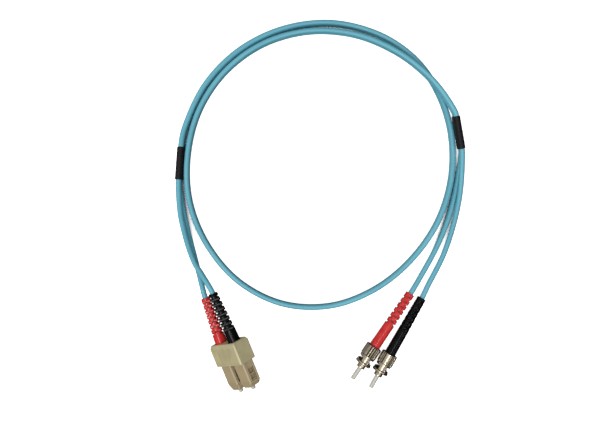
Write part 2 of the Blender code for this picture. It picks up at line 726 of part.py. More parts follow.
def clip_mesh(z):
    """Duplex clip: two pockets for the housings and round exits for the boots."""
    inset = 2 * CLIP_REAR_CUT_W
    body = lofted("clip", [
        outline(CLIP_W - inset, CLIP_T - inset, CLIP_EDGE, z["clip_rear"]),
        outline(CLIP_W, CLIP_T, CLIP_EDGE, z["clip_rear"] + CLIP_REAR_CUT_L),
        outline(CLIP_W, CLIP_T, CLIP_EDGE, z["clip_front"])])
    x, y = HOUSING_W / 2 + SNUG, HOUSING_T / 2 + SNUG
    pockets, exits = [], bmesh.new()
    for side in (-1, 1):
        middle = side * PLUG_PITCH / 2
        pockets.append(((middle - x, -y, z["clip_wall"]),
                        (middle + x, y, z["clip_front"] + CUT_OVER)))
        hole = Matrix.Translation(Vector((middle, 0, z["clip_wall"])) * MM)
        bmesh.ops.create_cone(
            exits, cap_ends=True, segments=ROUND, matrix=hole, depth=4 * CLIP_REAR_WALL * MM,
            radius1=(PLUG_BOOT_BASE_D / 2 + SEAT) * MM,
            radius2=(PLUG_BOOT_BASE_D / 2 + SEAT) * MM)
    body = carved(body, boxes("pockets", pockets))
    body = carved(body, to_mesh(exits, "exits"))
    wide = CLIP_W / 2 - CLIP_PANEL_MARGIN
    low = z["clip_rear"] + CLIP_REAR_CUT_L + CLIP_PANEL_END
    high = z["clip_front"] - CLIP_PANEL_END
    top = CLIP_T / 2 - CLIP_PANEL_DEPTH
    panels = [((-wide, top, low), (wide, CLIP_T, high)),
              ((-wide, -CLIP_T, low), (wide, -top, high))]
    return carved(body, boxes("panels", panels))


def square_plug(name, carrier, boot, meshes, finishes, z, r):
    """The nodes of one square plug that slide in its housing."""
    place(f"plug_frame_{name}", meshes["frame"], finishes["beige"], carrier)
    place(f"plug_ferrule_{name}", meshes["ferrule"], finishes["ceramic"], carrier)
    place(f"plug_flange_{name}", meshes["flange"], finishes["nickel"], carrier)
    place(f"plug_backbone_{name}", meshes["backbone"], finishes["nickel"], carrier)
    place(f"plug_crimp_{name}", meshes["crimp"], finishes["brass"], carrier)
    place(f"plug_fibre_{name}", meshes["fibre"], finishes["buffer"], carrier)
    place(f"plug_boot_{name}", boot, finishes[name], carrier)
    coil(f"plug_spring_{name}", r["spring"], PLUG_SPRING_WIRE, z["spring_rear"],
         z["spring_front"], PLUG_SPRING_CURLS, finishes["steel"], carrier)


# ================================================================ bayonet plug
def layout_bayonet_plug():
    """Heights and radii along a bayonet plug, from the ferrule's tip backwards."""
    z = {}
    z["collar_front"] = -COLLAR_BACK
    z["stop_front"] = z["collar_front"] - COLLAR_L
    z["stop_rear"] = z["stop_front"] - STOP_L
    z["spindle_end"] = z["stop_rear"] - SPINDLE_L
    z["tail_end"] = z["spindle_end"] - BAYONET_TAIL_L
    z["ferrule_end"] = z["collar_front"] - BARREL_GRIP
    z["fibre_front"] = z["ferrule_end"] - SEAT
    z["rim"] = -NUT_BACK
    z["nut_end"] = z["rim"] - NUT_L
    z["wall_rear"] = z["nut_end"] + NUT_RECESS_L
    z["wall_front"] = z["wall_rear"] + NUT_WALL_L
    z["washer_rear"] = z["wall_front"] + SEAT
    z["washer_front"] = z["washer_rear"] + WASHER_L
    z["spring_rear"] = z["washer_front"] + SEAT
    z["spring_front"] = z["stop_rear"] - SEAT
    z["ring_front"] = z["wall_rear"] - SEAT
    z["ring_rear"] = z["ring_front"] - CLIP_RING_L
    z["boot_front"] = z["ring_rear"] - SEAT
    z["crimp_front"] = z["spindle_end"] - SEAT
    z["crimp_step"] = z["tail_end"] - SEAT
    z["crimp_end"] = z["crimp_step"] - CRIMP_REAR_L
    z["leg_end"] = z["crimp_step"] - SEAT
    z["fibre_rear"] = z["leg_end"] + SEAT
    z["ribs"] = z["nut_end"] - BAYONET_BOOT_PLAIN_L
    z["boot_tip"] = z["nut_end"] - BAYONET_BOOT_L
    r = {}
    r["spindle"] = SPINDLE_D / 2
    r["groove"] = r["spindle"] - CLIP_RING_GROOVE
    r["ring_bore"] = r["groove"] + SNUG
    r["ring"] = r["spindle"] + CLIP_RING_STAND
    r["washer_bore"] = r["spindle"] + RUN
    r["nut_hole"] = r["spindle"] + SNUG
    r["nut_bore"] = NUT_BORE_D / 2
    r["washer"] = r["nut_bore"] - SEAT
    r["spring"] = (r["spindle"] + r["washer"]) / 2
    r["recess"] = NUT_D / 2 - NUT_RECESS_WALL
    r["tail"] = BAYONET_TAIL_D / 2
    r["fibre_bore"] = BUFFER_D / 2 + BUFFER_PLAY
    r["leg_bore"] = STRAND_D / 2 + SNUG
    r["crimp"] = max(r["tail"] + SNUG, r["leg_bore"]) + CRIMP_WALL
    return z, r


def barrel_mesh(z, r):
    """Metal barrel: keyed front collar, spring stop, spindle and crimp tail."""
    collar, stop = COLLAR_D / 2, STOP_D / 2
    pocket = FERRULE_D / 2 + PRESS
    ring_low, ring_high = z["ring_rear"] - SNUG, z["ring_front"] + SNUG
    body = turned("barrel", [
        (pocket, z["collar_front"]), (collar, z["collar_front"]),
        (collar, z["stop_front"]), (stop, z["stop_front"]), (stop, z["stop_rear"]),
        (r["spindle"], z["stop_rear"]), (r["spindle"], ring_high),
        (r["groove"], ring_high), (r["groove"], ring_low), (r["spindle"], ring_low),
        (r["spindle"], z["spindle_end"]), (r["tail"], z["spindle_end"]),
        (r["tail"], z["tail_end"]), (r["fibre_bore"], z["tail_end"]),
        (r["fibre_bore"], z["fibre_front"]), (pocket, z["fibre_front"])])
    root = (pocket + collar) / 2
    key = boxes("key", [((-COLLAR_KEY_W / 2, root, z["stop_front"] - STOP_L / 2),
                         (COLLAR_KEY_W / 2, COLLAR_KEY_R,
                          z["collar_front"] - COLLAR_KEY_BACK))])
    return carved(body, key, "UNION")


def knurl_tool(z):
    """Straight V grooves round the nut's rear half, but for its two lands."""
    radius, half = NUT_D / 2, KNURL_GROOVE_W / 2
    spread = half * (KNURL_DEPTH + CUT_OVER) / KNURL_DEPTH
    bm = bmesh.new()
    low, high = z["nut_end"] - CUT_OVER, z["nut_end"] + NUT_KNURL_L
    for k in range(KNURLS):
        if k in LAND_GROOVES:
            continue
        turn = Matrix.Rotation(2 * math.pi * k / KNURLS, 3, "Z")
        section = [(radius - KNURL_DEPTH, 0), (radius + CUT_OVER, -spread),
                   (radius + CUT_OVER, spread)]
        ends = [[bm.verts.new(turn @ Vector((x, y, h)) * MM) for x, y in section]
                for h in (low, high)]
        bm.faces.new(ends[0])
        bm.faces.new(ends[1])
        for a in range(3):
            b = (a + 1) % 3
            bm.faces.new((ends[0][a], ends[0][b], ends[1][b], ends[1][a]))
    return to_mesh(bm, "knurl")


def slot_tool(z, r):
    """The two helical bayonet slots, each ending in a detent."""
    steps = 6
    inside, outside = r["nut_bore"] - CUT_OVER, NUT_D / 2 + CUT_OVER
    bm = bmesh.new()
    for first in (0, 180):
        rings = []
        for k in range(steps + 1):
            share = k / steps
            angle = math.radians(first + (share - 0.5) * SLOT_SWEEP)
            middle = z["rim"] - SLOT_START - SLOT_RISE * share
            half = SLOT_W / 2 + (SLOT_DETENT / 2 if k == steps else 0)
            spoke = Vector((math.cos(angle), math.sin(angle), 0))
            rings.append([bm.verts.new((spoke * d + Vector((0, 0, h))) * MM)
                          for d, h in ((inside, middle - half), (outside, middle - half),
                                       (outside, middle + half), (inside, middle + half))])
        for low, high in zip(rings, rings[1:]):
            for a in range(4):
                b = (a + 1) % 4
                bm.faces.new((low[a], low[b], high[b], high[a]))
        bm.faces.new(rings[0])
        bm.faces.new(rings[-1])
    return to_mesh(bm, "slots")


def entry_tool(z, r):
    """The grooves inside the rim that lead the adapter's pins into the slots."""
    bm = bmesh.new()
    low, high = z["rim"] - SLOT_START, z["rim"] + CUT_OVER
    inside, outside = r["nut_bore"] - CUT_OVER, NUT_D / 2 - ENTRY_WALL
    size = Vector((outside - inside, SLOT_W, high - low))
    for first in (0, 180):
        turn = Matrix.Rotation(math.radians(first - SLOT_SWEEP / 2 + ENTRY_LEAD), 4, "Z")
        middle = Matrix.Translation(Vector(((inside + outside) / 2, 0, (low + high) / 2)) * MM)
        bmesh.ops.create_cube(bm, size=1.0,
                              matrix=turn @ middle @ Matrix.Diagonal((*(size * MM), 1.0)))
    return to_mesh(bm, "entries")


def nut_mesh(z, r):
    """Bayonet nut: knurled rear, slotted neck and front rim."""
    outer, neck, edge = NUT_D / 2, NUT_NECK_D / 2, NUT_EDGE
    knurl_end = z["nut_end"] + NUT_KNURL_L
    rim_rear = z["rim"] - NUT_RIM_L
    body = turned("nut", [
        (r["nut_bore"], z["rim"]), (outer - edge, z["rim"]), (outer, z["rim"] - edge),
        (outer, rim_rear), (neck, rim_rear - (outer - neck)), (neck, knurl_end),
        (outer, knurl_end - (outer - neck)), (outer, z["nut_end"] + edge),
        (outer - edge, z["nut_end"]), (r["recess"], z["nut_end"]),
        (r["recess"], z["wall_rear"]), (r["nut_hole"], z["wall_rear"]),
        (r["nut_hole"], z["wall_front"]), (r["nut_bore"], z["wall_front"])], sides=FINE)
    for tool in (knurl_tool(z), slot_tool(z, r), entry_tool(z, r)):
        body = carved(body, tool)
    return body


def ring_mesh(z, r):
    """Retaining ring: an open ring snapped into the spindle's groove."""
    steps = 16
    rings = []
    for k in range(steps + 1):
        angle = math.radians(CLIP_RING_GAP / 2 + (360 - CLIP_RING_GAP) * k / steps)
        spoke = Vector((math.cos(angle), math.sin(angle), 0))
        rings.append([spoke * d + Vector((0, 0, h))
                      for d, h in ((r["ring_bore"], z["ring_rear"]), (r["ring"], z["ring_rear"]),
                                   (r["ring"], z["ring_front"]), (r["ring_bore"], z["ring_front"]))])
    return lofted("ring", rings)


def washer_mesh(z, r):
    """Thrust washer between the spring and the nut's rear wall."""
    return turned("washer", [
        (r["washer_bore"], z["washer_front"]), (r["washer"], z["washer_front"]),
        (r["washer"], z["washer_rear"]), (r["washer_bore"], z["washer_rear"])])


def bayonet_plug(name, carrier, boot, meshes, finishes, z, r):
    """The nodes of one bayonet plug."""
    place(f"bayonet_ferrule_{name}", meshes["ferrule"], finishes["ceramic"], carrier)
    place(f"bayonet_barrel_{name}", meshes["barrel"], finishes["nickel"], carrier)
    nut = place(f"bayonet_nut_{name}", meshes["nut"], finishes["nickel"], carrier)
    nut.rotation_euler.z = math.radians(NUT_TURN[name])
    place(f"bayonet_washer_{name}", meshes["washer"], finishes["steel"], carrier)
    place(f"bayonet_ring_{name}", meshes["ring"], finishes["steel"], carrier)
    place(f"bayonet_crimp_{name}", meshes["crimp"], finishes["brass"], carrier)
    place(f"bayonet_fibre_{name}", meshes["fibre"], finishes["buffer"], carrier)
    place(f"bayonet_boot_{name}", boot, finishes[name], carrier)
    coil(f"bayonet_spring_{name}", r["spring"], NUT_SPRING_WIRE, z["spring_rear"],
         z["spring_front"], NUT_SPRING_CURLS, finishes["steel"], carrier)


# ================================================================ the whole cord
def plug_pair_axes():
    """Across, through and out of the plug pair, in the world."""
    heading, roll = math.radians(PLUG_PAIR_HEADING), math.radians(PLUG_PAIR_ROLL)
    pitch = math.radians(PLUG_PAIR_PITCH)
    forward = Vector((math.cos(heading) * math.cos(pitch),
                      math.sin(heading) * math.cos(pitch), -math.sin(pitch)))
    level = Vector((-math.sin(heading), math.cos(heading), 0))
    up = forward.cross(level)
    across = level * math.cos(roll) + up * math.sin(roll)
    through = up * math.cos(roll) - level * math.sin(roll)
    return across, through, forward


def plug_pair_height(z, axes):
    """Height of the clip's rear middle that puts the clip's lowest corner on the table."""
    across, through, forward = axes
    corners = [across * x + through * y + forward * (h - z["clip_rear"])
               for end in ("clip_rear", "clip_front")
               for x, y, h in outline(CLIP_W, CLIP_T, CLIP_EDGE, z[end])]
    return -min(corner.z for corner in corners)


def bayonet_station(name, tip, heading):
    angle = math.radians(heading)
    forward = Vector((math.cos(angle), math.sin(angle), 0))
    up = Vector((0, 0, 1))
    return station(name, (*tip, NUT_D / 2), up.cross(forward), up, forward)


def build():
    clear_scene()
    finishes = {
        "beige": finish("beige_plastic", (0.50, 0.44, 0.29), 0.45),
        "red": finish("red_boot", (0.68, 0.05, 0.06), 0.5),
        "black": finish("black_boot", (0.012, 0.012, 0.016), 0.45),
        "aqua": finish("aqua_jacket", (0.10, 0.42, 0.52), 0.5),
        "shrink": finish("shrink_sleeve", (0.02, 0.018, 0.018), 0.6),
        "ceramic": finish("white_ceramic", (0.82, 0.80, 0.76), 0.25),
        "nickel": finish("nickel", (0.62, 0.58, 0.50), 0.3, 1.0),
        "brass": finish("brass", (0.70, 0.55, 0.28), 0.35, 1.0),
        "steel": finish("spring_steel", (0.55, 0.55, 0.56), 0.35, 1.0),
        "buffer": finish("fibre_buffer", (0.75, 0.78, 0.80), 0.4),
    }

    z, r = layout_square_plug()
    shoulder = PLUG_BOOT_BASE_D / 2
    boot_outside = [(r["neck"], z["boot_front"]), (r["neck"], z["boot_shoulder"]),
                    (shoulder, z["boot_shoulder"]), (shoulder, z["clip_rear"])]
    boot_outside += taper(shoulder, PLUG_BOOT_MID_D / 2, z["clip_rear"], z["ribs"], 3)
    boot_outside += boot_tip(PLUG_BOOT_MID_D, PLUG_BOOT_TIP_D, z["ribs"], z["boot_tip"])
    meshes = {
        "housing": housing_mesh(), "frame": frame_mesh(z, r),
        "ferrule": ferrule_mesh(z["ferrule_tip"], z["ferrule_end"]),
        "flange": flange_mesh(z, r), "backbone": backbone_mesh(z, r),
        "crimp": crimp_mesh(z["crimp_front"], z["crimp_step"], z["crimp_end"],
                            BACKBONE_TAIL_D / 2 + SNUG, r["leg_bore"]),
        "fibre": fibre_mesh(z["fibre_front"], z["fibre_rear"])}
    axes = plug_pair_axes()
    across, through, forward = axes
    pair_at = Vector((*PLUG_PAIR_AT, plug_pair_height(z, axes))) - forward * z["clip_rear"]
    pair = station("plug_pair", pair_at, *axes)
    place("duplex_clip", clip_mesh(z), finishes["beige"], pair)
    plugs = {}
    for name, side in (("red", -1), ("black", 1)):
        at = pair_at + across * side * PLUG_PITCH / 2
        grip = station(f"grip_{name}", at, *axes)
        place(f"plug_housing_{name}", meshes["housing"], finishes["beige"], grip)
        plugs[name] = station(f"plug_{name}", at + forward * FRAME_OUT[name], *axes)
        boot = boot_mesh(boot_outside, r["crimp"] + SNUG, z["crimp_end"] - SEAT,
                         PLUG_NOTCH_LEVELS, PLUG_NOTCH_STEP, PLUG_NOTCH_TURN[name])
        boot = leaning(boot, BOOT_LEAN[name], z["clip_rear"], z["boot_tip"])
        square_plug(name, plugs[name], boot, meshes, finishes, z, r)

    bz, br = layout_bayonet_plug()
    base = BAYONET_BOOT_BASE_D / 2
    boot_outside = [(base - BOOT_TIP_EDGE, bz["boot_front"]),
                    (base, bz["boot_front"] - BOOT_TIP_EDGE)]
    boot_outside += boot_tip(BAYONET_BOOT_MID_D, BAYONET_BOOT_TIP_D, bz["ribs"],
                             bz["boot_tip"])
    meshes = {
        "ferrule": ferrule_mesh(0.0, bz["ferrule_end"]), "barrel": barrel_mesh(bz, br),
        "nut": nut_mesh(bz, br), "washer": washer_mesh(bz, br), "ring": ring_mesh(bz, br),
        "crimp": crimp_mesh(bz["crimp_front"], bz["crimp_step"], bz["crimp_end"],
                            br["tail"] + SNUG, br["leg_bore"]),
        "fibre": fibre_mesh(bz["fibre_front"], bz["fibre_rear"])}
    bayonets = {}
    for name, tip, heading in (("red", BAYONET_RED_TIP, BAYONET_RED_HEADING),
                               ("black", BAYONET_BLACK_TIP, BAYONET_BLACK_HEADING)):
        bayonets[name] = bayonet_station(f"bayonet_{name}", tip, heading)
        boot = boot_mesh(boot_outside, br["crimp"] + SNUG, bz["crimp_end"] - SEAT,
                         BAYONET_NOTCH_LEVELS, BAYONET_NOTCH_STEP, BAYONET_NOTCH_TURN[name])
        bayonet_plug(name, bayonets[name], boot, meshes, finishes, bz, br)
    bpy.context.view_layer.update()

    figure_eight = section_curve("zip_section", zip_section())
    oval = section_curve("band_section", band_section())
    route, mouths = zip_route()
    curve = smooth_curve(route)
    points = sampled(curve, mouths, (None, ZIP_STEP, None))
    tube("zip_cord", points, finishes["aqua"], section=figure_eight)
    print(f"zip cord: {length_of(curve):.0f} mm long, {len(points)} points, "
          f"least gap to itself {cord_gap(points):.2f} mm")
    legs = (("plug_red", plugs["red"], z, PLUG_RED_LEG, PLUG_BAND, -1, -1),
            ("plug_black", plugs["black"], z, PLUG_BLACK_LEG, PLUG_BAND, 1, -1),
            ("bayonet_red", bayonets["red"], bz, BAYONET_RED_LEG, BAYONET_BAND, -1, 1),
            ("bayonet_black", bayonets["black"], bz, BAYONET_BLACK_LEG, BAYONET_BAND, 1, 1))
    for name, carrier, heights, chosen, band, strand, side in legs:
        kind, colour = name.split("_")
        lean = BOOT_LEAN[colour] if kind == "plug" else None
        route, mouths = leg_points(carrier, heights, chosen, band, strand, side, lean)
        curve = smooth_curve(route)
        points = sampled(curve, mouths, (LEAN_STEP if lean else None, LEG_STEP, None))
        tube(f"leg_{name}", points, finishes["aqua"], depth=STRAND_D / 2)
        print(f"leg {name}: {length_of(curve):.0f} mm long, {len(points)} points")
    for name, band in (("plug", PLUG_BAND), ("bayonet", BAYONET_BAND)):
        ends = [band_point(band, side * BAND_L / 2) for side in (-1, 1)]
        sleeve = tube(f"band_{name}", ends, finishes["shrink"], section=oval, caps=False)
        shell = sleeve.modifiers.new("wall", "SOLIDIFY")
        shell.thickness = BAND_WALL * MM
        shell.offset = 1.0


build()
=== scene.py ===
# %% [markdown]
# # A duplex fibre optic patch cord
#
# The cord carries light between two boxes of network gear.  Two square push-pull plugs sit
# side by side in a beige clip; two round bayonet plugs are at the other end.  Red and black
# boots tell the two strands apart.  The solids of the frame hold every size and every joint.
# This file gives each visible piece its fine surface, its finish and its light.

# %% Load the frame
import json
import math

import bmesh
import bpy
from mathutils import Matrix, Vector

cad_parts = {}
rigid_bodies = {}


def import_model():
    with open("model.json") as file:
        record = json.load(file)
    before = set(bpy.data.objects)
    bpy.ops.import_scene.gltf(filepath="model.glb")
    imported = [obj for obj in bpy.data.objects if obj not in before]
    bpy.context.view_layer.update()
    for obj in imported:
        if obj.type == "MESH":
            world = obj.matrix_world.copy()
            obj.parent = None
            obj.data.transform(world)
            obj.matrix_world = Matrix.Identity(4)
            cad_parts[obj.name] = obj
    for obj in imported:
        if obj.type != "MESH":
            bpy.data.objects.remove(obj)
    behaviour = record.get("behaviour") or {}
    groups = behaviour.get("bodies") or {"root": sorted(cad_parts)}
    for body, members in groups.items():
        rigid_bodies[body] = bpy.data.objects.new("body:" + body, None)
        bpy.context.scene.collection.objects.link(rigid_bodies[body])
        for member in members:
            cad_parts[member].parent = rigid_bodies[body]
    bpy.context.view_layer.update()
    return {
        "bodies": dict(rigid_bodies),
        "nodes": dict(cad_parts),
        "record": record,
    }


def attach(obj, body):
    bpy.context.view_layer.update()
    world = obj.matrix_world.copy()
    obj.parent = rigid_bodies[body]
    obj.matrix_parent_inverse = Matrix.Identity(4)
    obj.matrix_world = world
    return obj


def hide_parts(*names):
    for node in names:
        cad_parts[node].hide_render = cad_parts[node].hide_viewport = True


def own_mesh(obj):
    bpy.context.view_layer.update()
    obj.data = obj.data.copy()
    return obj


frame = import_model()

record = frame["record"]
MM = 0.001
print("bodies:", ", ".join(frame["bodies"]))

# %% [markdown]
# Each plug is easiest to shape in its own frame: +Z out of the plug, +Y through it and +X
# across the pair.  The frame's mounts give where a plug's ferrule ends and which way it
# points, so the stations are read from them instead of being typed in again.

# %% Stations of the plugs
mounts = {mount["name"]: mount for mount in record["mounts"]}
FERRULE_OUT = 2.3      # of a square plug's ferrule, beyond its frame's nose
HOUSING_T = 7.4
KEY = {"width": 2.4, "height": 0.7, "length": 7.5, "back": 4.0}


def station(at, forward, up):
    """The place of a plug's own frame, with its lengths still in millimetres."""
    forward = forward.normalized()
    up = (up - forward * up.dot(forward)).normalized()
    turn = Matrix((up.cross(forward), up, forward)).transposed().to_4x4()
    return Matrix.Translation(at) @ turn @ Matrix.Scale(MM, 4)


def mount_at(name):
    return Vector(mounts[name]["pos_m"]), Vector(mounts[name]["axis"]).normalized()


plug, grip, bayonet = {}, {}, {}
for colour in ("red", "black"):
    tip, forward = mount_at(f"square_ferrule_{colour}")
    key, down = mount_at(f"square_key_{colour}")
    plug[colour] = station(tip - forward * FERRULE_OUT * MM, forward, -down)
    nose = key + (forward * (KEY["back"] + KEY["length"] / 2)
                  - down * (HOUSING_T / 2 + KEY["height"])) * MM
    grip[colour] = station(nose, forward, -down)
    tip, forward = mount_at(f"bayonet_ferrule_{colour}_face")
    bayonet[colour] = station(tip, forward, Vector((0, 0, 1)))
pair = grip["red"].copy()
pair.translation = (grip["red"].translation + grip["black"].translation) / 2
print("pitch of the pair:",
      round((grip["red"].translation - grip["black"].translation).length / MM, 2), "mm")

# %% [markdown]
# The photograph looks straight down on the table from about 0.4 m.  A camera is a lens and a
# place: the lens follows from how the 600 pixels of the picture cover the loop, and the place
# from where the plugs show a little of their sides.

# %% Camera
CAMERA_AT = (-0.00797, 0.06997, 0.400)
FOCAL_PIXELS = 708.6   # distance at which one pixel is as large as one unit
PICTURE_W = 600

camera = bpy.data.objects.new("camera", bpy.data.cameras.new("camera"))
camera.data.sensor_fit = "HORIZONTAL"
camera.data.sensor_width = 36.0
camera.data.lens = camera.data.sensor_width * FOCAL_PIXELS / PICTURE_W
camera.location = CAMERA_AT
bpy.context.scene.collection.objects.link(camera)
bpy.context.scene.camera = camera
print("lens:", round(camera.data.lens, 1), "mm")

# %% [markdown]
# ## Finishes
#
# A finish is a small network of nodes.  Written as a chain of sums it is hard to read, so a
# wire between two nodes is wrapped in a class that knows +, -, * and /.  Then shader maths
# looks like any other maths, and every other kind of node comes from the one method `node`.

# %% A class for shader maths


class Wire:
    """One output socket in a finish, which can be added, multiplied and compared."""

    def __init__(self, finish, socket):
        self.finish, self.socket = finish, socket

    def maths(self, operation, *values, clamp=False):
        numbered = dict(enumerate((self, *values)))
        return self.finish.node("ShaderNodeMath",
                                {"operation": operation, "use_clamp": clamp}, numbered)

    def __add__(self, other):
        return self.maths("ADD", other)

    __radd__ = __add__

    def __mul__(self, other):
        return self.maths("MULTIPLY", other)

    __rmul__ = __mul__

    def __sub__(self, other):
        return self.maths("SUBTRACT", other)

    def __rsub__(self, other):
        return (self * -1.0) + other

    def __truediv__(self, other):
        return self.maths("DIVIDE", other)

    def power(self, exponent):
        return self.maths("POWER", exponent)

    def within(self, low, high):
        """0 below low, 1 above high, and smooth in between."""
        return self.finish.node("ShaderNodeMapRange", {"interpolation_type": "SMOOTHSTEP"},
                                {"Value": self, "From Min": low, "From Max": high})


class Finish:
    """A material under construction: one Principled shader and what feeds it."""

    def __init__(self, name, **constants):
        self.material = bpy.data.materials.new(name)
        self.material.use_nodes = True
        self.nodes = self.material.node_tree.nodes
        self.links = self.material.node_tree.links
        self.shader = self.nodes["Principled BSDF"]
        for socket, value in constants.items():
            self.shader.inputs[socket.replace("_", " ")].default_value = value

    def node(self, kind, settings=None, sockets=None, out=0):
        """Adds a node: its settings first, then the values or wires of its sockets."""
        made = self.nodes.new(kind)
        for key, value in (settings or {}).items():
            if key == "stops":
                ramp = made.color_ramp.elements
                while len(ramp) < len(value):
                    ramp.new(0.5)
                for element, (position, colour) in zip(ramp, value):
                    element.position, element.color = position, (*colour, 1.0)
            else:
                setattr(made, key, value)
        for key, value in (sockets or {}).items():
            self.join(made.inputs[key], value)
        return Wire(self, made.outputs[out])

    def join(self, socket, value):
        if isinstance(value, Wire):
            self.links.new(value.socket, socket)
        elif hasattr(value, "__len__") and socket.type == "RGBA":
            socket.default_value = (*value, 1.0)
        else:
            socket.default_value = value

    def feed(self, **sockets):
        for name, value in sockets.items():
            self.join(self.shader.inputs[name.replace("_", " ")], value)
        return self

    def place(self):
        """The point's own place on its piece, in millimetres, as the mesh carries it."""
        return self.node("ShaderNodeAttribute", {"attribute_name": "own"}, out=1)

    def stretched(self, place, x, y, z):
        return self.node("ShaderNodeVectorMath", {"operation": "MULTIPLY"},
                         {0: place, 1: (x, y, z)})

    def axes(self, place):
        """The three numbers of a place."""
        parts = self.node("ShaderNodeSeparateXYZ", None, {0: place}).socket.node.outputs
        return [Wire(self, part) for part in parts]

    def noise(self, place, scale, detail=3.0, roughness=0.5):
        return self.node("ShaderNodeTexNoise", None,
                         {"Vector": place, "Scale": scale, "Detail": detail,
                          "Roughness": roughness})

    def mixed(self, share, first, second):
        """A colour between two, by a share from 0 to 1."""
        mixer = self.nodes.new("ShaderNodeMix")
        mixer.data_type = "RGBA"
        self.join(mixer.inputs[0], share)
        self.join(mixer.inputs[6], first)
        self.join(mixer.inputs[7], second)
        return Wire(self, mixer.outputs[2])

    def bump(self, height, distance_mm, strength=1.0):
        return self.node("ShaderNodeBump", None,
                         {"Height": height, "Distance": distance_mm * MM,
                          "Strength": strength})


# %% [markdown]
# The jacket is extruded plastic: the die leaves faint lines along it, the colour drifts a
# little over a length, and handling rubs some places smoother.  The mesh carries the
# distance along the cord, so noise is squeezed across the cord and drawn out along it.

# %% Aqua jacket
AQUA = (0.112, 0.395, 0.500)
AQUA_PALE = (0.145, 0.460, 0.570)
AQUA_DEEP = (0.075, 0.310, 0.420)
# Painted shade that a boot's notches cast on the leg inside it, tinted with the boot's colour.
PAINTED_NOTCH_SHADE = {"red": (0.300, 0.020, 0.020), "black": (0.006, 0.010, 0.012)}


def aqua_jacket(name, shade=None, in_boot=27.6):
    """shade is a painted shade, tinted with the boot's colour, that the notches cast on a leg
    over its first in_boot mm.
    """
    finish = Finish(name, Roughness=0.4, Specular_IOR_Level=0.45)
    place = finish.place()
    drift = finish.noise(finish.stretched(place, 0.1, 0.1, 0.02), 1.0, 2.0)
    lines = finish.noise(finish.stretched(place, 2.6, 2.6, 0.012), 1.0, 3.0, 0.6)
    grain = finish.noise(place, 7.0, 2.0)
    scuff = finish.noise(finish.stretched(place, 0.5, 0.5, 0.12), 1.3, 4.0).within(0.6, 0.72)
    colour = finish.mixed(drift.within(0.35, 0.7), AQUA, AQUA_PALE)
    colour = finish.mixed(lines.within(0.52, 0.75) * 0.35, colour, AQUA_DEEP)
    colour = finish.mixed(scuff * 0.12, colour, (0.45, 0.62, 0.66))
    # Painted shade: inside its boot the leg is painted in the notches' dark, boot-tinted shade.
    if shade:
        along = finish.axes(place)[2]
        under = 1.0 - along.within(in_boot - 0.6, in_boot)
        colour = finish.mixed(under * 0.97, colour, shade)
    height = lines * 0.7 + grain * 0.18 + scuff * 0.1
    return finish.feed(Base_Color=colour, Roughness=0.36 + lines * 0.12 + scuff * 0.12,
                       Normal=finish.bump(height, 0.02))


finishes = {"cord": aqua_jacket("aqua_jacket").material,
            "leg_red": aqua_jacket("aqua_leg_red", PAINTED_NOTCH_SHADE["red"]).material,
            "leg_black": aqua_jacket("aqua_leg_black", PAINTED_NOTCH_SHADE["black"]).material}
print("finishes:", ", ".join(finishes))

# %% [markdown]
# A shrink sleeve is a dull black tube that has been heated until it grips the cord.  It
# keeps fine ripples round it, and the two strands press through as a soft waist.

# %% Black shrink sleeve


def shrink_sleeve():
    finish = Finish("shrink_sleeve", Roughness=0.55, Specular_IOR_Level=0.2)
    place = finish.place()
    ripples = finish.noise(finish.stretched(place, 0.35, 0.35, 1.6), 1.0, 3.0)
    grain = finish.noise(place, 9.0, 2.0)
    colour = finish.mixed(ripples.within(0.4, 0.7), (0.003, 0.003, 0.004),
                          (0.009, 0.009, 0.011))
    return finish.feed(Base_Color=colour, Roughness=0.42 + grain * 0.25,
                       Normal=finish.bump(ripples * 0.8 + grain * 0.2, 0.05))


finishes["shrink"] = shrink_sleeve().material

# %% [markdown]
# The clip and the plugs' housings are moulded in beige plastic.  A mould's eroded steel
# leaves a fine orange peel and flow gives faint clouds.  Sharp edges are smoother and painted
# paler, partly as plastic rubbed by fingers and partly as a painted highlight along the ridges.
# The housings are a warmer beige than the clip, so one function makes both.

# %% Beige mouldings
CLIP_BEIGE = (0.470, 0.420, 0.240)
PLUG_BEIGE = (0.400, 0.318, 0.184)


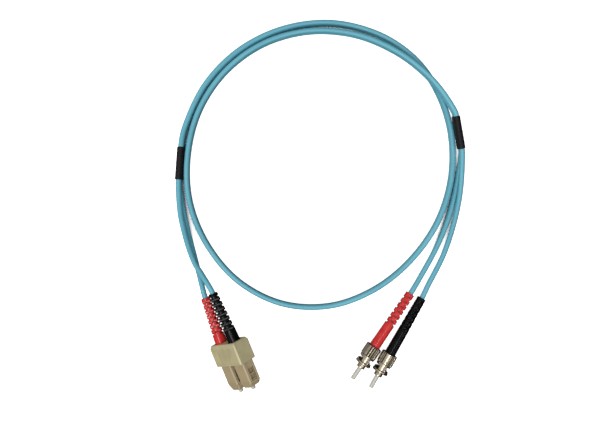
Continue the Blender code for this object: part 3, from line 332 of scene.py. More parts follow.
def moulded(name, base, outside=None, peel=0.012, rough=0.4):
    """outside is half the width of a piece, and of its openings, whose sides get painted shade.
    """
    finish = Finish(name, Roughness=rough, Specular_IOR_Level=0.45)
    place = finish.place()
    clouds = finish.noise(place, 0.16, 3.0)
    fine = finish.noise(place, 5.5, 3.0, 0.6)
    flow = finish.noise(finish.stretched(place, 0.3, 0.3, 0.06), 1.5, 2.0)
    edge = finish.node("ShaderNodeNewGeometry", None, None, out=7).within(0.515, 0.60)
    pale = tuple(min(1.0, c * 1.35 + 0.03) for c in base)
    deep = tuple(c * 0.86 for c in base)
    colour = finish.mixed(clouds.within(0.35, 0.68), deep, base)
    colour = finish.mixed(flow.within(0.5, 0.8) * 0.25, colour, pale)
    # Painted highlight and wear: sharp edges are painted paler, partly as rubbed plastic, partly
    # as a painted highlight.
    colour = finish.mixed(edge * 0.55, colour, pale)
    # Painted shade: the side walls of windows and pockets are painted almost black.
    if outside:
        x, y, z = finish.axes(place)
        across = x.maths("ABSOLUTE")
        up = y.maths("ABSOLUTE")
        inside = ((1.0 - across.within(outside[0] - 0.1, outside[0]))
                  * across.within(outside[0] - 0.7, outside[0] - 0.6)
                  * (1.0 - up.within(outside[1] + 0.1, outside[1] + 0.2))
                  * (up.within(outside[1] - 0.1, outside[1] - 0.02) * 0.75 + 0.25)
                  * (1.0 - z.within(BEHIND_NOSE - 0.1, BEHIND_NOSE)))
        colour = finish.mixed(inside * 0.95, colour, tuple(c * 0.06 for c in base))
    return finish.feed(Base_Color=colour, Roughness=(fine * 0.16 + rough) - edge * 0.08,
                       Normal=finish.bump(fine, peel))


# Painted shade on the walls of the openings starts this far back, behind the slanted nose.
BEHIND_NOSE = -2.5
finishes["clip"] = moulded("clip_plastic", CLIP_BEIGE).material
finishes["housing"] = moulded("housing_plastic", PLUG_BEIGE, (4.45, 1.8)).material
finishes["frame"] = moulded("frame_plastic", PLUG_BEIGE, (3.7, 1.5)).material

# %% [markdown]
# The boots are soft plastic, glossier than the housings.  Two mould halves meet in a parting
# line along each side, and the surface has a slight waviness that breaks up its highlight.

# %% Red and black boots
BOOT_COLOURS = {"red": ((0.520, 0.020, 0.022), (0.620, 0.034, 0.030)),
                "black": ((0.0015, 0.0015, 0.0020), (0.004, 0.004, 0.005))}


def boot_plastic(colour):
    deep, pale = BOOT_COLOURS[colour]
    finish = Finish(f"{colour}_boot", Roughness=0.3,
                    Specular_IOR_Level=0.22 if colour == "red" else 0.08)
    place = finish.place()
    x, y, z = finish.axes(place)
    waves = finish.noise(finish.stretched(place, 0.5, 0.5, 0.3), 1.0, 2.0)
    fine = finish.noise(place, 6.0, 3.0, 0.6)
    parting = 1.0 - y.maths("ABSOLUTE").within(0.03, 0.12)
    tint = finish.mixed(waves.within(0.35, 0.65), deep, pale)
    return finish.feed(Base_Color=tint, Roughness=0.12 + fine * 0.10 + waves * 0.05,
                       Normal=finish.bump(waves * 0.3 + fine * 0.06 + parting * 0.35, 0.05))


for colour in ("red", "black"):
    finishes[colour] = boot_plastic(colour).material

# %% [markdown]
# The bayonet nuts and barrels are turned brass under nickel.  The lathe leaves rings too
# fine to count, and the plating is faintly warm, darker where skin oils have dulled it.

# %% Nickel, steel and brass


def turned_metal(name, bright, dull, rings=9.0, rough=0.22, grooves=None, inside_nut=0.0):
    """Shade is painted dark into a knurl's grooves (its radius, end and bore), and inside the
    nut.
    """
    finish = Finish(name, Metallic=1.0, Roughness=rough)
    place = finish.place()
    marks = finish.noise(finish.stretched(place, 0.25, 0.25, rings), 1.0, 3.0, 0.65)
    clouds = finish.noise(place, 0.8, 3.0)
    colour = finish.mixed(clouds.within(0.4, 0.7), bright, dull)
    # Painted shade: the knurl's grooves and the nut's bore are painted nearly black.
    if grooves:
        x, y, z = finish.axes(place)
        out = (x * x + y * y).power(0.5)
        groove_shade = 1.0 - out.within(grooves[0] - 0.16, grooves[0] - 0.04)
        groove_shade = groove_shade * (1.0 - z.within(grooves[1] - 0.1, grooves[1]))
        bore = 1.0 - out.within(grooves[2], grooves[2] + 0.2)
        colour = finish.mixed(groove_shade.maths("MAXIMUM", bore) * 0.94, colour, PAINTED_METAL_SHADE)
    # Painted shade: the part of the barrel inside the nut is painted dark.
    if inside_nut:
        deep = 1.0 - finish.axes(place)[2].within(inside_nut - 0.4, inside_nut)
        colour = finish.mixed(deep * 0.9, colour, PAINTED_METAL_SHADE)
    return finish.feed(Base_Color=colour, Roughness=rough - 0.04 + marks * 0.08 + clouds * 0.06,
                       Normal=finish.bump(marks, 0.004))


# Near-black colour painted as shade in grooves, bores and inside the nut.
PAINTED_METAL_SHADE = (0.022, 0.018, 0.012)
NICKEL = ((0.40, 0.345, 0.265), (0.30, 0.255, 0.185))
finishes["nickel"] = turned_metal("nickel", *NICKEL).material
finishes["nut"] = turned_metal("nut_nickel", *NICKEL, grooves=(4.6, -15.3, 3.7)).material
finishes["barrel"] = turned_metal("barrel_nickel", *NICKEL, inside_nut=-10.6).material
finishes["steel"] = turned_metal("spring_steel", (0.62, 0.62, 0.63), (0.5, 0.5, 0.5)).material
finishes["brass"] = turned_metal("crimp_brass", (0.80, 0.62, 0.32), (0.62, 0.46, 0.22)).material

# %% [markdown]
# A ferrule is zirconia, ground to a thousandth of a millimetre: a dense off-white ceramic
# that lets a little light in.  The light-carrying fibre ends as a speck in its middle.

# %% White ceramic and the fibre's buffer


def white_ceramic():
    finish = Finish("white_ceramic", Roughness=0.3, Coat_Weight=0.1, Coat_Roughness=0.2)
    place = finish.place()
    x, y, z = finish.axes(place)
    clouds = finish.noise(place, 0.7, 2.0)
    grind = finish.noise(finish.stretched(place, 0.2, 0.2, 14.0), 1.0, 2.0)
    middle = 1.0 - (x * x + y * y).power(0.5).within(0.05, 0.09)
    colour = finish.mixed(clouds.within(0.3, 0.7), (0.49, 0.475, 0.42), (0.54, 0.525, 0.475))
    colour = finish.mixed(middle, colour, (0.10, 0.11, 0.12))
    return finish.feed(Base_Color=colour, Roughness=0.26 + grind * 0.12,
                       Normal=finish.bump(grind, 0.004))


def fibre_buffer():
    finish = Finish("fibre_buffer", Roughness=0.35)
    place = finish.place()
    lines = finish.noise(finish.stretched(place, 4.0, 4.0, 0.1), 1.0, 2.0)
    return finish.feed(Base_Color=finish.mixed(lines, (0.62, 0.70, 0.74), (0.75, 0.80, 0.82)),
                       Normal=finish.bump(lines, 0.01))


finishes["ceramic"] = white_ceramic().material
finishes["buffer"] = fibre_buffer().material
print("finishes:", ", ".join(finishes))

# %% [markdown]
# ## Tools for shapes
#
# Every piece here is turned, drawn along a line or moulded.  A turned piece is a profile
# swept round its axis; a moulded one is a stack of outlines.  Real edges are never knife
# sharp, so each corner of a profile or outline becomes a small arc before it is swept.

# %% Profiles, outlines and solids


def softened(points, radius, closed=False, steps=3):
    """The same chain of 2D points with a small arc in place of each corner."""
    points = [Vector(p) for p in points]
    count, result = len(points), []
    for k, corner in enumerate(points):
        if not closed and k in (0, count - 1):
            result.append(corner)
            continue
        before, after = points[k - 1] - corner, points[(k + 1) % count] - corner
        run = min(radius, 0.45 * before.length, 0.45 * after.length)
        start, end = corner + before.normalized() * run, corner + after.normalized() * run
        for s in (n / steps for n in range(steps + 1)):
            result.append(start * (1 - s) ** 2 + corner * 2 * s * (1 - s) + end * s * s)
    return result


def to_mesh(bm, name):
    bmesh.ops.recalc_face_normals(bm, faces=bm.faces)
    mesh = bpy.data.meshes.new(name)
    bm.to_mesh(mesh)
    bm.free()
    return mesh


def skin(name, rings, around=True, caps=True, ring=False):
    """Faces between rings of points; caps close the ends, ring joins last to first."""
    bm = bmesh.new()
    loops = [[bm.verts.new(p) for p in points] for points in rings]
    pairs = list(zip(loops, loops[1:])) + ([(loops[-1], loops[0])] if ring else [])
    for low, high in pairs:
        for k in range(len(low) if around else len(low) - 1):
            n = (k + 1) % len(low)
            bm.faces.new((low[k], low[n], high[n], high[k]))
    if caps and not ring:
        bm.faces.new(loops[0])
        bm.faces.new(loops[-1])
    return to_mesh(bm, name)


def turned(name, profile, edge=0.12, sides=96, solid=False):
    """Sweeps a profile of (radius, z) round the axis; solid closes its two ends."""
    profile = softened(profile, edge, closed=not solid)
    rings = []
    for k in range(sides):
        turn = 2 * math.pi * k / sides
        spoke = (math.cos(turn), math.sin(turn))
        rings.append([(r * spoke[0], r * spoke[1], z) for r, z in profile])
    if not solid:
        return skin(name, rings, ring=True)
    columns = [[ring[k] for ring in rings] for k in range(len(profile))]
    return skin(name, columns)


def outline(width, depth, cut, z, soft=0.18):
    """A rectangle with slanted and slightly softened corners, at height z."""
    x, y = width / 2, depth / 2
    corners = [(x, cut - y), (x, y - cut), (x - cut, y), (cut - x, y),
               (-x, y - cut), (-x, cut - y), (cut - x, -y), (x - cut, -y)]
    return [(p.x, p.y, z) for p in softened(corners, soft, closed=True)]


def block(name, size, cut, low, high, edge=0.25, middle=(0, 0), steps=4):
    """A moulded block with slanted long edges and rounded ends."""
    rings = []
    ends = [(low, 1, k) for k in range(steps + 1)] + [(high, -1, k) for k in range(steps, -1, -1)]
    for z, side, k in ends:
        turn = math.pi / 2 * k / steps
        inset = edge * (1 - math.sin(turn))
        ring = outline(size[0] - 2 * inset, size[1] - 2 * inset, max(cut - inset, 0.1),
                       z + side * edge * (1 - math.cos(turn)))
        rings.append([(x + middle[0], y + middle[1], h) for x, y, h in ring])
    return skin(name, rings)


def carved(body, tool, operation="DIFFERENCE"):
    """Cuts a tool out of a body, or joins them, with an exact Boolean."""
    holders = []
    for mesh in (body, tool):
        holder = bpy.data.objects.new("carving", mesh)
        bpy.context.scene.collection.objects.link(holder)
        holders.append(holder)
    cut = holders[0].modifiers.new("cut", "BOOLEAN")
    cut.operation, cut.solver, cut.object = operation, "EXACT", holders[1]
    bpy.context.view_layer.update()
    seen = holders[0].evaluated_get(bpy.context.evaluated_depsgraph_get())
    result = bpy.data.meshes.new_from_object(seen)
    for holder in holders:
        bpy.data.objects.remove(holder, do_unlink=True)
    return result


def eased(mesh, width, sharp=50, merge=0.02, segments=2):
    """Rounds off the sharp edges that a cut leaves."""
    bm = bmesh.new()
    bm.from_mesh(mesh)
    bmesh.ops.remove_doubles(bm, verts=bm.verts, dist=merge)
    bmesh.ops.dissolve_degenerate(bm, edges=bm.edges, dist=merge / 4)
    edges = [e for e in bm.edges if len(e.link_faces) == 2
             and e.calc_face_angle(0) > math.radians(sharp)]
    bmesh.ops.bevel(bm, geom=edges, offset=width, segments=segments, profile=0.6,
                    affect="EDGES", clamp_overlap=True)
    return to_mesh(bm, mesh.name)


def box_tool(boxes):
    """Plain cutting boxes, each from its lowest and highest corner."""
    bm = bmesh.new()
    for low, high in boxes:
        low, high = Vector(low), Vector(high)
        move = Matrix.Translation((low + high) / 2) @ Matrix.Diagonal((*(high - low), 1))
        bmesh.ops.create_cube(bm, size=1, matrix=move)
    return to_mesh(bm, "tool")


# %% [markdown]
# A finished mesh goes to its station, and carries its own plug's coordinates along as an
# attribute.  The finishes read that attribute, so their grain follows the piece wherever
# it lies.  Weighted normals keep the flats flat beside their rounded edges.

# %% Putting a piece in its place


def add_piece(name, mesh, finish, body, replaced=(), at=None, own=None, smooth=40):
    """A visible piece that rides on a body and stands for CAD nodes."""
    own = own or [vert.co.copy() for vert in mesh.vertices]
    mesh = mesh.copy()
    mesh.name = name
    places = mesh.attributes.new("own", "FLOAT_VECTOR", "POINT")
    places.data.foreach_set("vector", [c for p in own for c in p])
    mesh.transform(at if at is not None else Matrix.Scale(MM, 4))
    mesh.materials.clear()
    mesh.materials.append(finishes[finish])
    mesh.shade_smooth()
    mesh.set_sharp_from_angle(angle=math.radians(smooth))
    piece = bpy.data.objects.new(name, mesh)
    bpy.context.scene.collection.objects.link(piece)
    shading = piece.modifiers.new("even_shading", "WEIGHTED_NORMAL")
    shading.keep_sharp = True
    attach(piece, body)
    if replaced:
        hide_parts(*replaced)
    print(f"{name}: {len(mesh.polygons)} faces")
    return piece


# %% [markdown]
# ## The cord
#
# The zip cord stands on edge: two 3 mm strands one above the other, with a thin web between
# them.  It lies in a turn and a half, and the second pass climbs over the first.  Its route
# is a smooth curve through points chosen along the photograph, the same as in the
# solids.  At each end it is split into two legs, under a shrink sleeve.

# %% The cord's sizes and its route
STRAND_R = 1.5
STRAND_PITCH = 3.1
WEB_T = 0.9
SEAT = 0.3
BAND_L = 18.2
STRAIGHT_OUT = 1.5

LOOP_MIDDLE = (3.23, 97.42)
LOOP = [  # direction from +X in degrees, radius and height of the zip's middle
    (165, 78.5, 3.1), (145, 78.3, 3.1), (125, 78.4, 3.1), (105, 78.8, 3.1),
    (85, 79.6, 3.1), (65, 79.9, 3.1), (48, 79.5, 3.1), (33, 77.8, 3.1),
    (15, 75.6, 3.1), (-5, 73.8, 3.1), (-25, 73.1, 3.1), (-45, 73.5, 3.1),
    (-65, 75.8, 3.1), (-85, 78.9, 3.1), (-105, 80.4, 3.1), (-125, 79.5, 3.1),
    (-145, 77.3, 3.1), (-165, 75.7, 3.1), (-185, 74.2, 3.1), (-205, 74.2, 3.1),
    (-225, 74.4, 3.2), (-245, 74.5, 4.4), (-265, 74.2, 6.4), (-285, 74.1, 8.4),
    (-303, 74.6, 9.7), (-317, 76.0, 10.0), (-328, 77.6, 9.9),
]
PLUG_BAND = {"at": (-75.07, 98.27, 3.6), "heading": 85.9, "slope": 0.0}
BAYONET_BAND = {"at": (79.73, 115.17, 7.8), "heading": -78.3, "slope": -8.0}


def smooth_curve(points):
    """A fine smooth (centripetal) curve through a route's own points."""
    pts = [Vector(p) for p in points]
    pts = [2 * pts[0] - pts[1]] + pts + [2 * pts[-1] - pts[-2]]
    dense = []
    for p0, p1, p2, p3 in zip(pts, pts[1:], pts[2:], pts[3:]):
        t1 = math.sqrt((p1 - p0).length)
        t2 = t1 + math.sqrt((p2 - p1).length)
        t3 = t2 + math.sqrt((p3 - p2).length)
        for k in range(24):
            t = t1 + (t2 - t1) * k / 24
            a1 = p0 * ((t1 - t) / t1) + p1 * (t / t1)
            a2 = p1 * ((t2 - t) / (t2 - t1)) + p2 * ((t - t1) / (t2 - t1))
            a3 = p2 * ((t3 - t) / (t3 - t2)) + p3 * ((t - t2) / (t3 - t2))
            b1 = a1 * ((t2 - t) / t2) + a2 * (t / t2)
            b2 = a2 * ((t3 - t) / (t3 - t1)) + a3 * ((t - t1) / (t3 - t1))
            dense.append(b1 * ((t2 - t) / (t2 - t1)) + b2 * ((t - t1) / (t2 - t1)))
    dense.append(pts[-2])
    return dense


def even_points(dense, step):
    """Points at even distances along a fine curve."""
    along = [0.0]
    for p, q in zip(dense, dense[1:]):
        along.append(along[-1] + (q - p).length)
    count = max(2, round(along[-1] / step))
    result, k = [], 0
    for n in range(count + 1):
        want = along[-1] * n / count
        while k < len(dense) - 2 and along[k + 1] < want:
            k += 1
        share = (want - along[k]) / (along[k + 1] - along[k])
        result.append(dense[k].lerp(dense[k + 1], share))
    return result


def length_of(points):
    return sum((q - p).length for p, q in zip(points, points[1:]))


def band_direction(band):
    heading, slope = math.radians(band["heading"]), math.radians(band["slope"])
    return Vector((math.cos(heading) * math.cos(slope),
                   math.sin(heading) * math.cos(slope), math.sin(slope)))


def band_point(band, along, strand=0):
    """A point of the cord inside a band; strand is +1 on the upper strand, -1 below."""
    middle = Vector(band["at"]) + band_direction(band) * along
    return middle + Vector((0, 0, strand * STRAND_PITCH / 2))


def zip_route():
    out = BAND_L / 2 + STRAIGHT_OUT
    points = [band_point(PLUG_BAND, a) for a in (SEAT / 2, BAND_L / 2, out)]
    for direction, radius, height in LOOP:
        angle = math.radians(direction)
        points.append(Vector((LOOP_MIDDLE[0] + radius * math.cos(angle),
                              LOOP_MIDDLE[1] + radius * math.sin(angle), height)))
    return points + [band_point(BAYONET_BAND, a) for a in (-out, -BAND_L / 2, -SEAT / 2)]


zip_path = even_points(smooth_curve(zip_route()), 1.2)
print("zip cord:", round(length_of(zip_path)), "mm,", len(zip_path), "points")

# %% [markdown]
# A cord's surface is its cross-section carried along the route and kept upright.  Drawing
# it as a mesh, not as a curve with a bevel, lets the section be the true figure of eight
# and lets each point remember how far along the cord it lies.

# %% A drawn cord


def drawn(name, path, section):
    """The mesh of a section carried upright along a path, and each point's own place."""
    rings, own, along = [], [], 0.0
    for k, point in enumerate(path):
        ahead = path[min(k + 1, len(path) - 1)] - path[max(k - 1, 0)]
        side = ahead.cross(Vector((0, 0, 1))).normalized()
        up = side.cross(ahead).normalized()
        rings.append([point + side * x + up * y for x, y in section])
        own += [(x, y, along) for x, y in section]
        along += (path[min(k + 1, len(path) - 1)] - point).length
    return skin(name, rings), own


def figure_eight(per_strand=26):
    """Both strands' outline with the web between them, its inner corners filled."""
    web = math.asin(WEB_T / 2 / STRAND_R)
    corners = []
    for side in (1, -1):
        for k in range(per_strand):
            turn = -math.pi / 2 + web + (2 * math.pi - 2 * web) * k / (per_strand - 1)
            x, y = STRAND_R * math.cos(turn), STRAND_R * math.sin(turn)
            corners.append((side * x, side * (y + STRAND_PITCH / 2)))
    return corners[::-1]


def circle(radius, count=28):
    return [(radius * math.cos(2 * math.pi * k / count),
             radius * math.sin(2 * math.pi * k / count)) for k in range(count)][::-1]


def add_cord(name, node, path, section, finish="cord"):
    mesh, own = drawn(name, path, section)
    piece = add_piece(name, mesh, finish, "cord_and_plugs", [node], own=own,
                      smooth=60)
    tuple(path[0] * MM)
    length_of(path) * MM
    [tuple(p * MM) for p in path]
    return piece


# %% [markdown]
# The sleeve over each split is a short oval tube.  Shrinking draws it in round the strands
# in the middle and leaves its cut ends a touch wide.

# %% Shrink sleeves
BAND_WALL = 0.35
BAND_PLAY = 0.2


def oval(radius, per_end=18):
    points = []
    for side in (1, -1):
        for k in range(per_end):
            turn = math.pi * k / (per_end - 1)
            points.append((side * radius * math.cos(turn),
                           side * (radius * math.sin(turn) + STRAND_PITCH / 2)))
    return points[::-1]


def waisted(point, pull):
    """An oval's point drawn in beside the web."""
    x, y = point
    return (x * (1 - pull * math.exp(-(y / 0.9) ** 2)), y)


def sleeve_mesh(band, steps=44):
    inner, outer = STRAND_R + BAND_PLAY, STRAND_R + BAND_PLAY + BAND_WALL
    ahead = band_direction(band)
    side = ahead.cross(Vector((0, 0, 1))).normalized()
    up = side.cross(ahead).normalized()
    rings, own = [], []

    def ring(radius, along, pull):
        centre = Vector(band["at"]) + ahead * along
        places = [waisted(p, pull) for p in oval(radius)]
        rings.append([centre + side * x + up * y for x, y in places])
        own.extend([(x, y, along) for x, y in places])

    for k in range(steps + 1):
        along = BAND_L * (k / steps - 0.5)
        end = max(0.0, 1 - (BAND_L / 2 - abs(along)) / 0.35)
        ripple = 0.025 * math.sin(along * 2.3 + 1.0) + 0.02 * math.sin(along * 5.1)
        ring(outer - 0.06 + ripple * (1 - end) - 0.12 * end * end, along, 0.10)
    for k in range(steps, -1, -1):
        ring(inner, BAND_L * (k / steps - 0.5), 0.0)
    return skin("sleeve", rings, ring=True), own


for name, band in (("plug", PLUG_BAND), ("bayonet", BAYONET_BAND)):
    mesh, own = sleeve_mesh(band)
    add_piece(f"shrink_band_{name}", mesh, "shrink", "cord_and_plugs",
                              [f"band_{name}"], own=own)

add_cord("zip_jacket", "zip_cord", zip_path, figure_eight())

# %% [markdown]
# Each leg leaves its boot straight, bends under its own weight down to the table and rises
# into its place in the sleeve.  Behind a boot that leans, the leg leans with it.

# %% The four legs
CLIP_REAR = -26.1      # in a square plug's frame
PLUG_BOOT_TIP = -54.2
PLUG_LEG_END = -25.5
BAYONET_BOOT_TIP = -57.5
BAYONET_LEG_END = -29.8
BOOT_LEAN = {"red": (2.5, 0.0), "black": (-0.8, 0.5)}
LEAN_SOFTNESS = 6.0

PLUG_RED_LEG = [(-61.17, 28.87, 12.1), (-63.37, 36.37, 10.0), (-65.67, 43.27, 6.8),
                (-68.27, 51.37, 4.0), (-70.87, 60.47, 2.4), (-73.17, 69.67, 1.8),
                (-74.57, 78.07, 1.7)]
PLUG_BLACK_LEG = [(-58.07, 32.97, 19.0), (-61.47, 37.77, 16.6), (-65.27, 42.87, 13.6),
                  (-69.27, 51.37, 9.8), (-72.27, 60.37, 7.2), (-74.47, 69.27, 5.7),
                  (-75.47, 78.07, 5.1)]
BAYONET_RED_LEG = [(59.03, 34.17, 3.6), (69.03, 51.97, 2.0), (76.13, 69.97, 1.6),
                   (80.33, 87.97, 1.8)]
BAYONET_BLACK_LEG = [(63.33, 29.77, 4.4), (72.63, 47.57, 2.8), (78.53, 65.47, 2.6),
                     (81.63, 83.37, 4.3)]


def leaned(point, lean):
    """Where a point of a straight boot goes when the boot leans to one side."""
    run = CLIP_REAR - point.z
    if run <= 0:
        return point
    full = math.hypot(CLIP_REAR - PLUG_BOOT_TIP, LEAN_SOFTNESS) - LEAN_SOFTNESS
    share = (math.hypot(run, LEAN_SOFTNESS) - LEAN_SOFTNESS) / full
    aside = Vector(lean) * share
    return Vector((point.x + aside.x, point.y + aside.y, point.z + aside.length ** 2 / run / 2))


def leg_route(place, end, tip, chosen, band, strand, side, lean=None):
    """A leg's route: inside its boot, its chosen points, and inside the band."""
    mouth = tip - STRAIGHT_OUT
    inside = [Vector((0, 0, end + (mouth - end) * k / 8)) for k in range(9)]
    if lean:
        inside = [leaned(point, lean) for point in inside]
    inside = [place @ point / MM for point in inside]
    outer = [band_point(band, side * a, strand)
             for a in (BAND_L / 2 + STRAIGHT_OUT, BAND_L / 2, SEAT / 2)]
    return inside + [Vector(p) for p in chosen] + outer


legs = (("plug_red", plug["red"], PLUG_LEG_END, PLUG_BOOT_TIP, PLUG_RED_LEG, PLUG_BAND, -1, -1),
        ("plug_black", plug["black"], PLUG_LEG_END, PLUG_BOOT_TIP, PLUG_BLACK_LEG,
         PLUG_BAND, 1, -1),
        ("bayonet_red", bayonet["red"], BAYONET_LEG_END, BAYONET_BOOT_TIP, BAYONET_RED_LEG,
         BAYONET_BAND, -1, 1),
        ("bayonet_black", bayonet["black"], BAYONET_LEG_END, BAYONET_BOOT_TIP,
         BAYONET_BLACK_LEG, BAYONET_BAND, 1, 1))
for name, place, end, tip, chosen, band, strand, side in legs:
    kind, colour = name.split("_")
    lean = BOOT_LEAN[colour] if kind == "plug" else None
    route = leg_route(place, end, tip, chosen, band, strand, side, lean)
    path = even_points(smooth_curve(route), 1.0)
    add_cord(f"leg_jacket_{name}", f"leg_{name}", path, circle(STRAND_R),
             f"leg_{colour}")

# %% [markdown]
# ## The boots
#
# A boot keeps the strand from kinking where it leaves the plug.  Pairs of flat-bottomed
# notches, each level a quarter turn from the one before, let it bend like a chain of small
# hinges.  It is turned as a taper, notched with a row of cutting boxes, its cut edges are
# rounded a little as a mould would, and then it leans the way the photograph shows.

# %% Notched boots
NOTCH_GAP = 1.0
NOTCH_W = 5.0
NOTCH_PLANE = 1.63
TIP_NOTCH = 2.1
BORE_R = STRAND_R + 0.2
NOTCH_TURN = {"plug": {"red": 45.0, "black": -48.6}, "bayonet": {"red": 90, "black": 45}}


def notched(body, far, tip, levels, spacing, turn):
    cutter = bmesh.new()
    for k in range(levels):
        middle = tip + TIP_NOTCH + k * spacing
        for side in (0, 180):
            quarter = Matrix.Rotation(math.radians(turn + 90 * (k % 2) + side), 4, "Z")
            spot = Matrix.Translation(((far + NOTCH_PLANE) / 2, 0, middle))
            size = Matrix.Diagonal((far - NOTCH_PLANE, NOTCH_W, NOTCH_GAP, 1))
            bmesh.ops.create_cube(cutter, size=1, matrix=quarter @ spot @ size)
    return eased(carved(body, to_mesh(cutter, "notches")), 0.09)


def add_boot(kind, colour, outer, bore_front, bore_step, levels, spacing, place, lean=None):
    tip = outer[-1][1]
    profile = outer + [(BORE_R, tip), (BORE_R, bore_step), (bore_front, bore_step),
                       (bore_front, outer[0][1])]
    body = turned("boot", profile, edge=0.3)
    mesh = notched(body, outer[0][0] + 2, tip, levels, spacing, NOTCH_TURN[kind][colour])
    own = [vert.co.copy() for vert in mesh.vertices]
    if lean:
        for vert in mesh.vertices:
            vert.co = leaned(vert.co, lean)
    add_piece(f"boot_{kind}_{colour}", mesh, colour, "cord_and_plugs",
              [f"{kind}_boot_{colour}"], at=place, own=own)


for colour in ("red", "black"):
    add_boot("plug", colour,
             [(2.85, -20.2), (2.85, -25.6), (3.4, -25.6), (3.4, CLIP_REAR), (3.2, -32.7),
              (2.5, PLUG_BOOT_TIP)],
             2.5, -28.5, 14, 1.445, plug[colour], BOOT_LEAN[colour])
    add_boot("bayonet", colour,
             [(3.05, -21.6), (2.9, -36.4), (2.5, BAYONET_BOOT_TIP)],
             2.35, -32.8, 12, 1.615, bayonet[colour])

# %% [markdown]
# ## The square plugs
#
# A duplex clip holds two housings at the pitch that the sockets ask for.  It is one
# moulding: two rectangular pockets in front, two round exits behind, and a shallow panel
# on each wide side.

# %% Duplex clip
CLIP_SIZE = (24.0, 10.7)
CLIP_FRONT = -13.9
CLIP_CUT = 0.7
CLIP_RIM = (0.7, 1.6)  # how far the rear rim slants in, and over what length
PANEL = {"margin": 4.6, "end": 1.0, "depth": 0.25}
PITCH = 12.7
HOUSING_W = 9.0
SNUG = 0.15


def clip_mesh():
    wide, thick = CLIP_SIZE
    rings = [outline(wide - 2 * CLIP_RIM[0] - 0.2, thick - 2 * CLIP_RIM[0] - 0.2, CLIP_CUT,
                     CLIP_REAR),
             outline(wide - 2 * CLIP_RIM[0], thick - 2 * CLIP_RIM[0], CLIP_CUT,
                     CLIP_REAR + 0.12),
             outline(wide, thick, CLIP_CUT, CLIP_REAR + CLIP_RIM[1]),
             outline(wide, thick, CLIP_CUT, CLIP_FRONT - 0.2),
             outline(wide - 0.3, thick - 0.3, CLIP_CUT, CLIP_FRONT)]
    body = skin("clip", rings)
    x, y = HOUSING_W / 2 + SNUG, HOUSING_T / 2 + SNUG
    for side in (-1, 1):
        middle = side * PITCH / 2
        body = carved(body, box_tool([((middle - x, -y, -22.6), (middle + x, y, 0))]))
        hole = turned("exit", [(3.7, -30), (3.7, -20)], solid=True, sides=64)
        hole.transform(Matrix.Translation((middle, 0, 0)))
        body = carved(body, hole)
    top = thick / 2 - PANEL["depth"]
    low, high = CLIP_REAR + CLIP_RIM[1] + PANEL["end"], CLIP_FRONT - PANEL["end"]
    for y_low, y_high in ((top, 9), (-9, -top)):
        panel = block("panel", (wide - 2 * PANEL["margin"], y_high - y_low), 0.1, low, high,
                      edge=0.05, middle=(0, (y_low + y_high) / 2))
        body = carved(body, panel)
    return eased(body, 0.12)


add_piece("clip_shell", clip_mesh(), "clip", "push_pull_grip",
          ["duplex_clip"], at=pair)

# %% [markdown]
# Each housing is a square sleeve that slides over its plug.  Its nose is slanted so that it
# finds the socket, a key on one wide side keeps it from going in upside down, and a window
# in each narrow side shows the latch pockets of the plug frame inside.

# %% Housings
HOUSING_L = 22.3
HOUSING_WALL = 0.55
NOSE_CUT = (1.7, 2.2)
WINDOW = {"back": 2.9, "length": 7.2, "width": 3.6}


def housing_mesh():
    front = HOUSING_W - 2 * NOSE_CUT[0]
    rings = [outline(HOUSING_W - 0.3, HOUSING_T - 0.3, 0.5, -HOUSING_L),
             outline(HOUSING_W, HOUSING_T, 0.6, 0.2 - HOUSING_L),
             outline(HOUSING_W, HOUSING_T, 0.6, -NOSE_CUT[1] - 0.1),
             outline(HOUSING_W - 0.15, HOUSING_T, 0.6, -NOSE_CUT[1] + 0.15),
             outline(front + 0.25, HOUSING_T, 0.6, -0.15),
             outline(front, HOUSING_T - 0.2, 0.6, 0.0)]
    body = skin("housing", rings)
    rib = box_tool([((-KEY["width"] / 2, -HOUSING_T / 2 - KEY["height"],
                      -KEY["back"] - KEY["length"]),
                     (KEY["width"] / 2, -HOUSING_T / 2 + 0.3, -KEY["back"]))])
    body = carved(body, rib, "UNION")
    x, y = HOUSING_W / 2 - HOUSING_WALL, HOUSING_T / 2 - HOUSING_WALL
    body = carved(body, box_tool([((-x, -y, -HOUSING_L - 1), (x, y, 1))]))
    low = -WINDOW["back"] - WINDOW["length"]
    half = WINDOW["width"] / 2
    body = carved(body, box_tool([((-9, -half, low), (9, half, -WINDOW["back"]))]))
    return eased(body, 0.08)


def frame_mesh():
    width = HOUSING_W - 2 * HOUSING_WALL - 0.4
    depth = HOUSING_T - 2 * HOUSING_WALL - 0.4
    body = skin("frame", [outline(width, depth, 0.4, -18.3), outline(width, depth, 0.4, -1.0),
                          outline(width - 1.0, depth - 0.4, 0.4, 0.0)])
    bore = turned("bore", [(2.3, 1), (2.3, -6.6), (1.55, -6.6), (1.55, -7.2), (2.4, -7.2),
                           (2.4, -19)], edge=0.05, solid=True)
    body = carved(body, bore)
    floor = width / 2 - 0.8
    margin = (WINDOW["length"] - 4.8) / 3
    pockets = []
    for low in (-WINDOW["back"] - WINDOW["length"] + margin, -WINDOW["back"] - margin - 2.4):
        pockets.append(((floor, -1.5, low), (width, 1.5, low + 2.4)))
        pockets.append(((-width, -1.5, low), (-floor, 1.5, low + 2.4)))
    return eased(carved(body, box_tool(pockets)), 0.06)


def ferrule_mesh(tip, end):
    return turned("ferrule", [(0.02, tip), (0.95, tip), (1.25, tip - 0.3), (1.25, end),
                              (0.02, end)], edge=0.1, solid=True)


